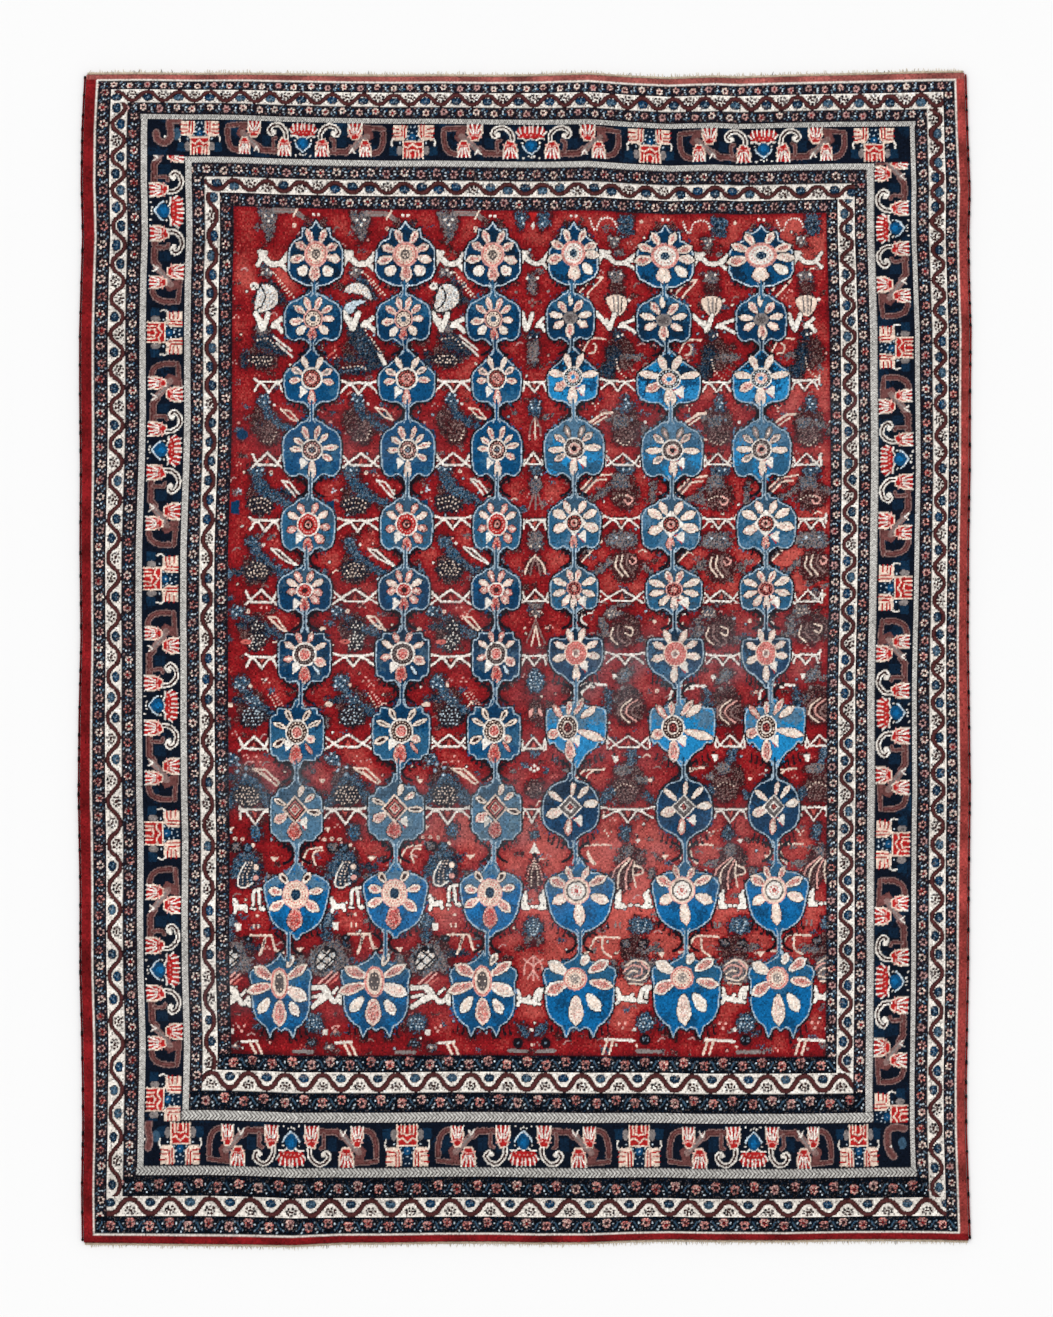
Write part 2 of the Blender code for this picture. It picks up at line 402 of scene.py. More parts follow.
def slanting_sparks(pen, lean):
    """The bottom guards' slanting leaf with sparks round it."""
    pen.line("slate", [(-2.8 * lean, -5), (2.8 * lean, 5)], 2.4)
    pen.dots("pale", [(-5.4 * lean, 4), (5.4 * lean, -3), (-3 * lean, 9.4)], 2.9)
    pen.dots("mist", [(6.4 * lean, 6.6), (-6.6 * lean, -6)], SPARK_SIZE)


def guard_flowers(chart, knots, draws):
    """Small ringed rosettes along the dark guards, with pale and blue sparks between them."""
    for name in ("guard_1", "guard_2", "guard_3", "guard_4"):
        for side, (near, far) in band_limits(name).items():
            chart.keep_to(knots[name, side])
            start, end = side_run(name, side)
            large = side == "bottom"
            count = round((end - start) / (34.0 if large else 29.0))
            pitch = (end - start) / count
            scale = min((far - near) / ROSETTE_WIDE, ROSETTE_SCALE_MOST)
            middle = (near + far) / 2
            for step in range(-1, count + 1):
                way = 1 if step % 2 else -1
                along = start + (step + 0.5) * pitch + draws.uniform(-1.5, 1.5)
                pen = side_pen(chart, side, along, middle + (2.6 if large else 1.2) * way, scale, scale)
                ring = draws.choice(RINGS[side])
                rosette(pen, ring, draws.choice(EYES), draws, large)
                between = side_pen(chart, side, along + pitch / 2, middle, scale, scale)
                flip = draws.choice((-1, 1))
                if large:
                    slanting_sparks(between, way)
                else:
                    for u, v, ink in SPARKS:
                        between.dots(ink, [(u + draws.uniform(-1, 1), flip * v)], SPARK_SIZE)
    chart.keep_to()


# The waving vines: the first and last outward crest along each side, in mm from its middle, the length
# of one wave at each of the two, and whether the blue flowers sit in its inward bays (-1), its outward
# bays (1) or both (0)
VINES = {
    "vine_1": {"left": (-951, 968, 83, 55, 0), "right": (-947, 932, 69, 50, 0),
               "bottom": (-716, 730, 69, 68.7, -1), "top": (-660, 690, 54.1, 54, -1)},
    "vine_2": {"left": (-898, 787, 80, 61, 0), "right": (-909, 770, 63, 53, 0),
               "bottom": (-641, 583, 64.5, 64.4, -1), "top": (-628, 626, 59.8, 59.7, 0)},
}


def crests(first, last, low_wave, high_wave):
    """Where a vine's outward crests lie, its waves growing evenly from one length to the other."""
    count = round((last - first) / (high_wave - low_wave) * math.log(high_wave / low_wave))
    share = np.arange(-1, count + 2) / count
    growth = high_wave / low_wave
    return first + (last - first) * (growth ** share - 1) / (growth - 1)


MESH_DOTS = 7


def round_flower(pen, blue, draws):
    """A vine's flower: a blue oval with small dots on it, or a ring of dark dots round two umber ones."""
    if blue:
        body = draws.choice(("deep", "navy", "navy", "slate"))
        around = [step * math.pi / 4 + 0.4 for step in range(8)]
        pen.blob("ink", 0, 0, 9.4, 7.6)
        pen.blob(body, 0, 0, 8.2, 6.4)
        pen.dots("night", [(5.0 * math.cos(a), 4.0 * math.sin(a)) for a in around[::2]], 2.8)
        pen.dots("haze", [(4.4 * math.cos(a), 3.4 * math.sin(a)) for a in around[1::3]], 2.4)
        pen.dots("mist", [(0, 0)], 3.0)
    else:
        turn = draws.uniform(0, 1)
        for step in range(MESH_DOTS):
            angle = (step + turn) * 2 * math.pi / MESH_DOTS
            ink = draws.choice(("umber", "soot", "ink"))
            pen.dots(ink, [(7.8 * math.cos(angle), 6.0 * math.sin(angle))], draws.uniform(4.4, 5.6))
        pen.dots("umber", [(-1.8, 0.4), (2.0, -0.6)], 4.6)


VINE_SWING_INSET = 4.6         # how far a crest stays from its band's edge, in mm
VINE_STEPS = 14                # path points to a wave
VINE_CORE = 3.8                # how much thinner the vine's core is, in mm
FLOWER_INSET = 10.4
BLUE_SHARE = 0.66
SPECKS_EACH_BAY = 16
SPECK_REACH = 0.36             # in waves, to each side of a bay


def vine_path(side, tops, near, far):
    """A waving vine's course over the rug, from its crests."""
    half = (far - near) / 2
    steps = np.arange(0, len(tops) - 1, 1 / VINE_STEPS)
    along = np.interp(steps, np.arange(len(tops)), tops)
    wiggle = np.cos(steps * 2 * math.pi)
    depth = (near + far) / 2 - (half - VINE_SWING_INSET) * wiggle * (1.28 - 0.28 * wiggle ** 2)
    ends = side in ("bottom", "top")
    sign = 1 if side in ("left", "bottom") else -1
    across = sign * (depth - (LENGTH if ends else WIDTH) / 2)
    return np.stack([along, across] if ends else [across, along], axis=1)


def bay(chart, side, spot, middle, half, out, blue, wave, draws):
    """One bay of a vine: its flower and the specks beside it. out is 1 for an outward bay, else -1."""
    round_flower(side_pen(chart, side, spot, middle - out * (half - FLOWER_INSET)), blue, draws)
    for _ in range(SPECKS_EACH_BAY):
        along = spot + draws.uniform(-SPECK_REACH, SPECK_REACH) * wave
        depth = middle - out * (half - draws.uniform(2, 9))
        side_pen(chart, side, along, depth).dots(draws.choice(("ash", "soot", "ash")), [(0, 0)], 2.0)


def vines(chart, knots, draws):
    """The ivory bands' waving vines, with a flower in every bay and specks beside it."""
    for name, sides in VINES.items():
        for side, (near, far) in band_limits(name).items():
            chart.keep_to(knots[name, side])
            *waves, blue_bays = sides[side]
            tops = crests(*waves)
            path = vine_path(side, tops, near, far)
            half = (far - near) / 2
            bays = np.interp(np.arange(0, len(tops) - 1, 0.5), np.arange(len(tops)), tops)
            for step, spot in enumerate(bays):
                out = 1 if step % 2 else -1
                blue = blue_bays == out or blue_bays == 0 and draws.random() < BLUE_SHARE
                bay(chart, side, spot, (near + far) / 2, half, out, blue, waves[2], draws)
            pen = Pen(chart, 0.0, 0.0)
            thick = 9.2 if side == "bottom" else 8.0
            pen.line("umber", path, thick)
            pen.line("bark", path, thick - VINE_CORE)
    chart.keep_to()


# ---- The main border: fans and crowns in turn, joined by broken vines ----

FIGURE_TALL = 36.0             # the main border's width in the motifs' own units
UNIT = 117.0                   # from a fan's middle to a crown's, in the same


def fingers(pen, u, v, half_wide, half_tall, way):
    """A small red flower with white fingers fanning out at one end; way is 1 for fingers up, -1 for down."""
    foot, tip = v - way * half_tall, v + way * half_tall
    pen.area("cream", [(u - 0.5 * half_wide, foot), (u + 0.5 * half_wide, foot), (u + 1.05 * half_wide, v),
                       (u + half_wide, tip), (u - half_wide, tip), (u - 1.05 * half_wide, v)])
    pen.area("cherry", [(u - 0.4 * half_wide, foot + way * 1.2), (u + 0.4 * half_wide, foot + way * 1.2),
                        (u + 0.8 * half_wide, v), (u + 0.8 * half_wide, tip), (u - 0.8 * half_wide, tip),
                        (u - 0.8 * half_wide, v)])
    for share in (-0.95, -0.34, 0.34, 0.95):
        pen.line("ivory", [(u + share * half_wide * 0.4, v - way * 0.1 * half_tall),
                           (u + share * half_wide, tip)], 2.6)
    for flank in (-1, 1):
        pen.line("salmon", [(u + flank * half_wide * 0.2, v - way * 0.35 * half_tall),
                            (u + flank * half_wide * 0.9, foot + way * 0.5 * half_tall)], 2.4)
    pen.dots("umber", [(u, v)], 2.2)


def stem(pen, points, thick, rounded=True):
    """A thick brown vine with pale edges and a dark red core."""
    pen.line("drab", points, thick, rounded)
    pen.line("bark", points, thick - 3.2, rounded)
    pen.line("mauve", points, 0.3 * thick, rounded)


def fan_half(pen):
    """From the middle of a fan (u = 0) halfway to the next crown."""
    pen.area("cherry", [(-.5, 3), (5, 5), (9, 3.5), (13, 6), (14.4, 11), (12, 15.6), (-.5, 16.4)])
    for start, tip in (((1.7, 10.5), (1.7, 16.6)), ((6, 10.5), (6.6, 16.6)), ((10, 9.5), (11.4, 15.6)),
                       ((12, 7.4), (15, 11))):
        pen.line("ivory", [start, tip], 2.7)
    pen.dots("salmon", [(0, 7.5), (4, 7.4), (8, 6.6)], 2.6)
    pen.line("ivory", [(0, 4), (4, 2), (8, 4.4), (13, 4)], 2.8)
    pen.blob("blue", 0, -3, 6.2, 6.6)
    pen.blob("bright", 0, -2.4, 3, 3.4)
    pen.line("pale", [(8.6, -3), (6.5, -6.6), (0, -11.5)], 2.6)
    pen.dots("ivory", [(8.6, 0), (0, -14.4), (3, -13.6), (8, -15.4)], 3.2)
    stem(pen, [(27, -11), (46, -11), (51, -7)], 11.6, False)
    stem(pen, [(33, -9), (33.4, 0), (30.4, 2)], 7.0)
    pen.area("dusk", [(37, 4), (46, 5), (46, -6), (37, -6)])
    fingers(pen, 20.6, -6.5, 7.2, 9, -1)
    horn = [(18.4, 2.4), (19.4, 8.6), (24, 13.6), (29, 15.2), (34.9, 13.3), (38, 9), (35.6, 6), (32.4, 7.4)]
    pen.line("ivory", horn, 8.6, rounded=True)
    pen.line("umber", horn[:-1], 3.4, rounded=True)


def vine_half(pen):
    """The broken vine and its two small flowers, from u = 50 to u = 88, where the crown begins."""
    stem(pen, [(64, 14.2), (77, 13.4), (86, 12.4)], 9.0)
    pen.area("mauve", [(64, 15), (72, 14), (76, 4), (71, 0), (65, 8)])
    stem(pen, [(86, 8.6), (85.6, -1), (82, -9), (75.4, -12), (69, -11)], 10.4)
    pen.line("drab", [(68.5, 5.4), (60, -1), (52, -8.6)], 10.6)
    pen.line("ash", [(66, 3.4), (60, -1), (54, -6.6)], 3.0)
    fingers(pen, 55.6, 9.4, 7.6, 8, 1)
    fingers(pen, 66.6, -6.6, 6.4, 8.4, -1)
    pen.line("ivory", [(49.6, -12), (52.6, -7.6), (55.4, -12)], 2.4)


def crown_half(pen):
    """The near half of a crown, whose middle is at u = 117."""
    pen.area("navy", [(92.6, -5), (99, -4.6), (101, -8), (101, -14), (92, -13)])
    pen.blob("ash", 103.4, -8.6, 2.9, 4.6)
    pen.line("ivory", [(106, 2), (96.4, 3.6), (94.4, 0), (95.4, -4)], 2.6)
    pen.dots("pale", [(103.6, -1)], 3.0)
    pen.area("cream", [(96, 16.6), (111.4, 16.6), (111.4, 3), (108, 1.5), (97, 1.8)])
    for u, v, x, y in ((96, 13.2, 102.4, 12.6), (96, 8.4, 103, 8.4), (96.6, 4.6, 104, 5.6),
                       (105.8, 16.4, 105.6, 6), (109, 16.4, 108.4, 4.4)):
        pen.line("cherry", [(u, v), (x, y)], 2.6)
    pen.area("dusk", [(112, 17), (117.5, 17), (117.5, 1), (108, 1.4), (112, 7)])
    pen.blob("blue", 117, 4.4, 3.4, 3.6)
    pen.dots("pale", [(115, 14.6), (113, 10.4), (116.6, 9), (112.4, 6), (117, 4.4), (110.6, 2.4)], 2.6)
    pen.area("cherry", [(107, 1), (117.5, 1), (117.5, -16), (107, -16)])
    for points in (((106.6, .4), (117.5, .4)), ((107, .6), (107, -16.4)), ((107, -4), (112, -6), (117, -2)),
                   ((110.6, -16.4), (111, -9)), ((114.6, -16.4), (114, -11)), ((117.4, -8), (113.4, -9.4))):
        pen.line("cream", list(points), 2.6)


# The brown canes in three of the main border's corners: side, place in mm, and the cane's course from there
CANES = (("top", -622, 900, ((17, 20), (2, 18), (3, 4), (3, -11), (-7, -20), (-19, -14), (-21, -3))),
         ("bottom", 642, -832, ((18, 22), (2, 24), (-10, 18), (-12, 2), (-10, -14), (-2, -26))),
         ("bottom", -652, -822, ((2, 26), (0, 8), (3, -8), (0, -24))))


def main_border(chart, knots):
    """Crowns and fans at their measured places, each half unit stretched to reach its neighbour."""
    for side, (near, far) in band_limits("main").items():
        chart.keep_to(knots["main", side])
        depth = (near + far) / 2
        out = (far - near) / FIGURE_TALL * (1 if side in ("top", "bottom") else -1)
        run = 1 if side in ("top", "left") else -1
        shade = ripple(chart.x, chart.y, random.Random(len(side)), 70.0)
        shade = shade + chart.stray_x * 0.3 - (0.4 if side in ("bottom", "left") else 0)
        chart.ink[chart.limit & (shade > 0.6)] = INK["dusk"]
        chart.ink[chart.limit & (shade > 1.4)] = INK["navy"]
        places = MAIN_PLACES[side]
        for number, (one, two) in enumerate(zip(places, places[1:])):
            crown, fan = (one, two) if number % 2 == 0 else (two, one)
            pen = side_pen(chart, side, fan, depth, (crown - fan) / UNIT * run, out)
            fan_half(pen)
            vine_half(pen)
            crown_half(pen)
        for last, inner in ((places[0], places[1]), (places[-1], places[-2])):
            crown_half(side_pen(chart, side, 2 * last - inner, depth, (inner - last) / UNIT * run, out))
    for side, x, y, hook in CANES:
        chart.keep_to(knots["main", side])
        cane = Pen(chart, x, y)
        cane.blob("slate", 14, -4, 7, 11)
        cane.line("drab", hook, 13, rounded=True)
        cane.line("mauve", hook, 8.5, rounded=True)
        cane.dots("ivory", [(-6, -9)], 4)
    chart.keep_to()


# ---- The field's eleven rows of six medallions ----

# Each row's top and bottom in mm, the middles of its six medallions, and their half widths
MEDALLION_ROWS = (
    (750, 646, (-363, -208, -57, 83, 241.5, 408), (46, 50, 47, 41, 48, 54)),
    (632, 549, (-366, -210, -55, 78, 239, 407), (48, 45, 45, 40, 45, 42)),
    (536, 439, (-368, -204, -49, 82.5, 248, 407), (46, 47, 41, 42, 53, 47)),
    (414.5, 314, (-368, -202.5, -49, 84.5, 254, 408), (49, 45, 42, 50, 51, 48)),
    (281, 188, (-374, -204, -47.5, 86, 253, 417), (45, 44, 40, 44, 49, 48)),
    (159, 83, (-380, -208, -49, 86, 259, 418), (45, 43, 41, 40, 47, 43)),
    (53, -44, (-380.5, -211, -49, 89, 261, 418), (44, 45, 40, 46, 48, 41)),
    (-75, -181, (-392, -212, -52, 90, 273, 433), (45, 48, 44, 50, 54, 50)),
    (-206, -319, (-393, -221, -48, 80, 276, 431), (43, 46, 41, 47, 46, 42)),
    (-350, -472.5, (-393.5, -223, -58, 96, 278, 437), (55, 54, 52, 58, 56, 53)),
    (-509, -649, (-421.5, -257, -70.5, 96, 281, 445), (51, 57, 55, 60, 58, 54)),
)


def gap_middle(row):
    """How high the middle of the gap above a row is, in mm."""
    return (MEDALLION_ROWS[row - 1][1] + MEDALLION_ROWS[row][0]) / 2


# Right halves of the medallions' outlines, from the top down, in half widths and half heights
CROWN = ((0, 1.05), (.14, .85), (.3, .78), (.5, .82), (.55, .54), (.84, .4), (1, .14), (1.02, -.5),
         (.9, -.74), (.64, -.86), (.38, -.98), (.1, -1), (.07, -1.12))
ROUND = ((.08, 1.1), (.16, .98), (.36, .9), (.58, .72), (.84, .58), (.98, .34), (1.02, .1), (1, -.44),
         (.92, -.78), (.68, -.94), (.42, -.86), (.2, -.98), (.08, -1.12))
ROOF = ((0, 1.04), (.3, .74), (.62, .46), (.92, .22), (1.02, .02), (1, -.46), (.9, -.74), (.6, -.86),
        (.34, -.88), (.16, -1), (.07, -1.12))
PLATE = ((.08, 1.1), (.2, .86), (.42, .82), (.72, .84), (.78, .64), (.98, .56), (1.02, .2), (1, -.4),
         (.94, -.66), (.76, -.72), (.66, -.86), (.3, -.84), (.14, -1), (.07, -1.12))
KNOB = ((0, 1.04), (.2, .92), (.3, .74), (.4, .62), (.84, .62), (.98, .46), (1, 0), (.92, -.3), (.72, -.56),
        (.5, -.66), (.3, -.84), (.1, -1), (.06, -1.12))
SHIELD = ((.06, 1.08), (.2, .88), (.6, .82), (.92, .78), (1.02, .56), (1, -.1), (.9, -.34), (.78, -.3),
          (.62, -.5), (.36, -.68), (.12, -1), (.06, -1.12))
LANTERN = ((.07, 1.12), (.14, .9), (.4, .74), (.66, .72), (.8, .5), (1, .4), (1.02, -.2), (1, -.6),
           (.8, -.72), (.66, -.86), (.3, -.86), (.14, -1), (.07, -1.12))
DOME = ((.06, 1.12), (.16, .94), (.4, .86), (.66, .76), (.9, .5), (1.02, .16), (1, -.26), (.84, -.52),
        (.6, -.64), (.34, -.76), (.12, -.94), (.06, -1.12))
POT = ((0, 1.06), (.18, .82), (.3, .68), (.6, .64), (.94, .46), (1.02, .26), (.94, -.1), (.86, -.42),
       (.7, -.7), (.4, -.9), (.14, -1), (.06, -1.12))
HIDE = ((0, 1.04), (.12, .9), (.3, .8), (.5, .72), (.74, .7), (1, .6), (1.04, .46), (.97, .26), (.98, 0),
        (.95, -.34), (.86, -.54), (.68, -.7), (.52, -.78), (.4, -1.04), (.28, -.84), (.14, -.8), (0, -.88))

# The body of each row's left and right medallions: outline, top yarn, low yarn and patch yarn
GROUNDS = (
    ((CROWN, "navy", "deep", "dusk"), (CROWN, "deep", "blue", "navy")),
    ((ROUND, "mid", "deep", "blue"), (ROUND, "mid", "deep", "navy")),
    ((ROOF, "deep", "blue", "mid"), (ROOF, "navy", "azure", "blue")),
    ((ROUND, "blue", "blue", "mid"), (ROUND, "steel", "mid", "azure")),
    ((ROUND, "slate", "mid", "slate"), (ROUND, "slate", "mid", "steel")),
    ((ROUND, "slate", "deep", "blue"), (ROUND, "slate", "mid", "slate")),
    ((PLATE, "navy", "deep", "slate"), (KNOB, "navy", "deep", "mid")),
    ((PLATE, "deep", "mid", "blue"), (SHIELD, "steel", "azure", "azure")),
    ((LANTERN, "slate", "steel", "haze"), (DOME, "navy", "deep", "blue")),
    ((POT, "steel", "bright", "blue"), (POT, "mid", "bright", "blue")),
    ((HIDE, "mid", "blue", "bright"), (HIDE, "mid", "bright", "blue")),
)


# The mixture that fills a petal or a ring of each yarn
FLECKED = {"salmon": "petals", "cream": "shell", "rose": "pinks", "cherry": "berry"}


PETAL_RIM = 1.2
CORE_INSET = 3.2
# Half of a petal's outline, from its foot to its tip, in widths and lengths
PETAL_HALF = ((.1, -.55), (.3, -.4), (.46, -.05), (.5, .16), (.36, .38), (0, .6))


def petal(pen, angle, distance, length, width, ink, core):
    """One petal pointing away from the pen's middle, wider at its far end; angle runs from straight up."""
    shape = PETAL_HALF + tuple((-u, v) for u, v in PETAL_HALF[-2::-1])
    lean = math.radians(angle)
    ax, ay = math.sin(lean), math.cos(lean)

    def placed(inset):
        """The petal's outline on the motif, drawn in by some mm."""
        spots = []
        for u, v in shape:
            across, out = u * (1.3 * width - 2 * inset), v * (length + 3 - 2.6 * inset) + distance
            spots.append((ax * out + ay * across, ay * out - ax * across))
        return spots

    pen.area("ink", placed(-PETAL_RIM))
    pen.area(FLECKED.get(ink, ink), placed(0.0))
    if core != "-":
        pen.area(FLECKED.get(core, core), placed(CORE_INSET))


DISC_FLECKED_BELOW = 12        # half width in mm, under which a disc is flecked as a petal is
RING_DOT_PITCH = 4.7
RING_DOT = 2.7


def rings(pen, layers):
    """Nested discs from the outside in. A + before the yarn makes a diamond, and a : makes a ring of dots."""
    for ink, half_wide, half_tall in layers:
        if ink[0] == "+":
            pen.area(ink[1:], ((0, half_tall), (half_wide, 0), (0, -half_tall), (-half_wide, 0)))
        elif ink[0] == ":":
            turn = np.arange(0, 2 * math.pi, RING_DOT_PITCH / half_wide)
            pen.dots(ink[1:], [(half_wide * math.cos(a), half_tall * math.sin(a)) for a in turn], RING_DOT)
        else:
            yarn = FLECKED.get(ink, ink) if half_wide < DISC_FLECKED_BELOW else ink
            pen.blob(yarn, 0, 0, half_wide, half_tall)


def pair_in(word):
    """The two numbers of a word such as 20,21."""
    return tuple(float(number) for number in word.split(","))


def flowers_in(text):
    """The flowers charted in a text, with a blank line between two of them.

    The first line is how far the eye is from the medallion's middle, and the second the rings from the
    outside in, each a yarn and its half width,half height. Then each petal has its angle from straight up,
    its distance, length, width, yarn and core, or - for none, all in mm. A petal that starts with both
    stands on the left and then on the right.
    """
    flowers = []
    for block in text.strip().split("\n\n"):
        eye, ring_line, *petal_lines = block.splitlines()
        words = ring_line.split()
        layers = [(ink, *pair_in(size)) for ink, size in zip(words[::2], words[1::2])]
        petals = []
        for line in petal_lines:
            *numbers, ink, core = line.removeprefix("both ").split()
            angle, *sizes = map(float, numbers)
            if line.startswith("both "):
                petals.append((-angle, *sizes, ink, core))
            petals.append((angle, *sizes, ink, core))
        flowers.append((pair_in(eye), layers, petals))
    return flowers


# The left and the right flower of each row, from the top down
FLOWERS = flowers_in("""
0,1
salmon 20,21 rose 17,18 cream 15.5,16.5 :rose 12.5,13.5 soot 7.5,8.5 :cream 4,4
both 22 31 19 9 salmon rose
both 66 28 18 10 salmon rose
-104 33 20 11 cream rose
104 31 18 11 salmon cream
-142 35 15 14 ivory cream
142 35 15 14 ivory salmon
180 31 24 15 salmon rose

0,2
salmon 21,22 :rose 18.5,19.5 ivory 16,17 :rose 12,12 navy 7,7 :mist 4,4
both 24 32 18 9 cream rose
both 66 31 19 11 cream rose
-108 33 21 14 cream rose
98 32 19 12 cream salmon
138 36 18 12 ivory cream
180 33 22 17 salmon cream

0,-2
salmon 17,17 ink 14.5,14.5 cream 12.5,12.5 :ink 9.5,9.5 slate 5.5,5.5
both 18 27 19 9 salmon rose
both 54 28 17 9 salmon rose
-96 29 19 10 cream rose
90 26 15 9 salmon cream
-136 28 15 11 ivory cream
136 26 14 11 cream cream
180 26 16 12 rose cherry

0,-2
ash 12,11 soot 8,7 :ash 5,5
-34 24 18 9 salmon rose
34 24 18 10 salmon rose
0 31 14 7 cream -
both 80 25 18 9 cream salmon
both 122 23 15 10 salmon cream
180 21 22 12 cream rose

0,-2
ivory 19,19 umber 16,16 :rose 12.5,12.5 rose 9.5,9.5 maroon 5,5 :salmon 3,3
both 24 30 18 8 cream salmon
-64 29 15 9 salmon ash
64 28 15 9 salmon ash
-98 29 14 9 salmon rose
98 29 15 9 salmon rose
180 33 24 11 rose salmon

0,-1
ivory 17,18 ink 15,16 :pale 12.5,13 salmon 10,10.5 :rose 7,7 azure 4,4
-20 29 21 9 cream salmon
20 30 21 9 cream salmon
-78 28 22 10 cream salmon
78 29 22 10 cream salmon
-122 25 20 12 salmon rose
180 32 27 13 cream salmon

0,-2
ivory 19,19 umber 16.5,16.5 :salmon 12.5,12.5 salmon 9.5,9.5 umber 6.5,6.5 :mist 3,3
-24 31 19 9 salmon rose
20 31 19 8 salmon rose
-56 27 16 8 cream rose
48 29 16 7 cream rose
-88 27 17 8 cream rose
80 31 22 8 cream rose
114 29 15 9 salmon rose
180 34 26 11 salmon cream

0,-1
ivory 19,19 umber 16.5,16.5 :ash 13,13 salmon 10.5,10.5 rose 7.5,7.5 ink 4.5,4.5
both 22 31 17 8 ash salmon
both 52 30 16 9 salmon ash
-90 30 24 9 cream salmon
90 31 25 9 cream salmon
-122 29 17 9 salmon ash
180 31 24 11 salmon cream

0,-1
ivory 20,21 cherry 17,18 :salmon 12.5,13.5 umber 8.5,9 rose 5.5,6 ink 3,3
both 24 30 15 9 rose salmon
both 60 30 16 9 salmon cream
both 102 29 13 10 rose salmon
140 31 16 12 rose salmon
180 35 20 13 rose cherry

0,0
+ivory 20,24 umber 13,14 :rose 10,11 rose 7,7 umber 3,3
both 22 30 19 9 salmon cream
-58 30 20 12 cream salmon
58 30 20 11 cream salmon
-110 26 18 13 salmon cream
104 30 21 13 cream salmon
180 33 19 10 rose rose

0,-1
ivory 15,13 cherry 12,10.5 :salmon 8.5,7 umber 5,4.5
both 24 25 17 9 rose salmon
both 62 25 17 9 salmon cream
-92 22 13 10 rose salmon
98 22 14 10 rose salmon
134 23 15 11 rose salmon
180 25 22 13 rose cherry

0,0
salmon 13,13 maroon 11,11 :rose 8,8 rose 5,5
both 20 23 17 8 salmon rose
-66 27 19 9 cream salmon
66 28 20 10 cream salmon
-106 26 18 9 salmon cream
106 26 18 9 cream salmon
-146 24 17 9 salmon cream
146 24 17 9 cream salmon
180 24 20 9 salmon cream

0,5
ivory 21,21 umber 18,18 :ash 14.5,14.5 salmon 11,11 cherry 8.5,8.5 :salmon 5,5
both 22 30 15 8 rose salmon
both 60 30 16 8 salmon cream
-102 28 14 9 rose cream
116 29 18 13 salmon rose
146 34 14 4 pale -
180 35 24 16 rose cherry

0,5
cream 20,22 rose 18,20 :salmon 15,17 :salmon 10.5,12 salmon 7,8 drab 4,4.5
both 20 31 22 9 salmon cream
both 62 30 18 9 salmon cream
-108 29 18 10 cream salmon
100 30 18 10 cream salmon
180 35 24 10 salmon cream

0,4
ivory 20,22 umber 17,19 :cream 13.5,15.5 cream 10,11.5 cherry 8,9 :salmon 4.5,5
both 28 32 18 8 cream umber
-66 31 20 7 cream umber
62 33 20 7 cream umber
-118 36 19 10 cream umber
118 26 13 11 salmon rose
142 35 17 5 rose -
180 39 28 17 rose cherry

-15,9
ivory 18.5,22 umber 16,19.5 :cream 12.5,15.5 cream 9,12 maroon 7,9.5 :rose 3.5,4
-34 33 24 9 rose salmon
0 34 18 8 salmon rose
30 41 26 9 salmon rose
52 44 26 10 salmon cream
106 42 40 12 salmon cream
-112 26 18 14 salmon rose
178 40 32 14 salmon rose

-2,5
+cream 22,25 +umber 18,21 +rose 14,16.5 +umber 11.5,13.5 +cream 9,10.5 +cherry 6.5,7.5 :salmon 2.5,2.5
16 33 16 8 cream salmon
50 32 16 8 cream rose
-64 29 17 8 cream umber
96 33 20 9 cream umber
-122 29 20 13 salmon rose
180 37 24 19 rose cherry

-1,6
+ivory 22,22 +soot 19,19 :ash 10,10 +ivory 10,10 +maroon 7,7 :rose 2.5,2.5
8 32 20 7 salmon cream
-50 32 24 8 cream salmon
42 34 22 8 cream salmon
84 36 20 11 cream ivory
-106 28 24 14 cream salmon
182 34 24 11 rose cream

-2,7
salmon 23,25 cream 21,22.5 :rose 17,18.5 :rose 12.5,13.5 navy 8.5,9.5 :slate 4,4
both 34 34 17 10 cream umber
-78 35 19 12 cream rose
78 35 19 10 cream rose
-116 37 24 12 cream rose
128 32 28 14 cream rose
180 42 32 21 rose cherry

-6,10
salmon 24,24 cream 21.5,22 soot 18,18 ivory 15,15 :rose 8,8 cherry 4,4
-20 33 20 9 salmon rose
26 33 20 9 salmon rose
-64 35 26 14 cream rose
66 40 28 12 cream rose
108 42 26 14 cream salmon
-120 30 26 14 salmon cream
176 40 34 15 salmon cream

-2,22
salmon 16,27 rose 14,25 cream 12.5,23 soot 8.5,17 :cream 4.5,12
24 42 18 9 cream ash
-58 33 30 16 cream rose
58 36 34 13 cream rose
-106 36 38 15 cream rose
118 34 34 18 ivory salmon
-146 48 26 13 ivory cream
154 50 22 12 ivory salmon
180 52 38 19 salmon rose

-8,26
salmon 21,20 rose 19,18 cream 17.5,16.5 :rose 14,13 ash 8,8 :cream 5,5
26 36 16 12 ivory salmon
-60 36 30 16 ivory cream
64 45 32 15 ivory rose
102 46 34 14 cream rose
-118 36 34 18 ivory rose
144 52 30 16 ivory cream
176 54 42 20 cream salmon
""")
# Rows whose flower holds a white sail low beside its stalk
SAILS = (2, 3, 4, 5, 6, 7, 8)


BODY_RIM = 8.0
BODY_STRAY = 7.0
PATCH_FROM = 0.35


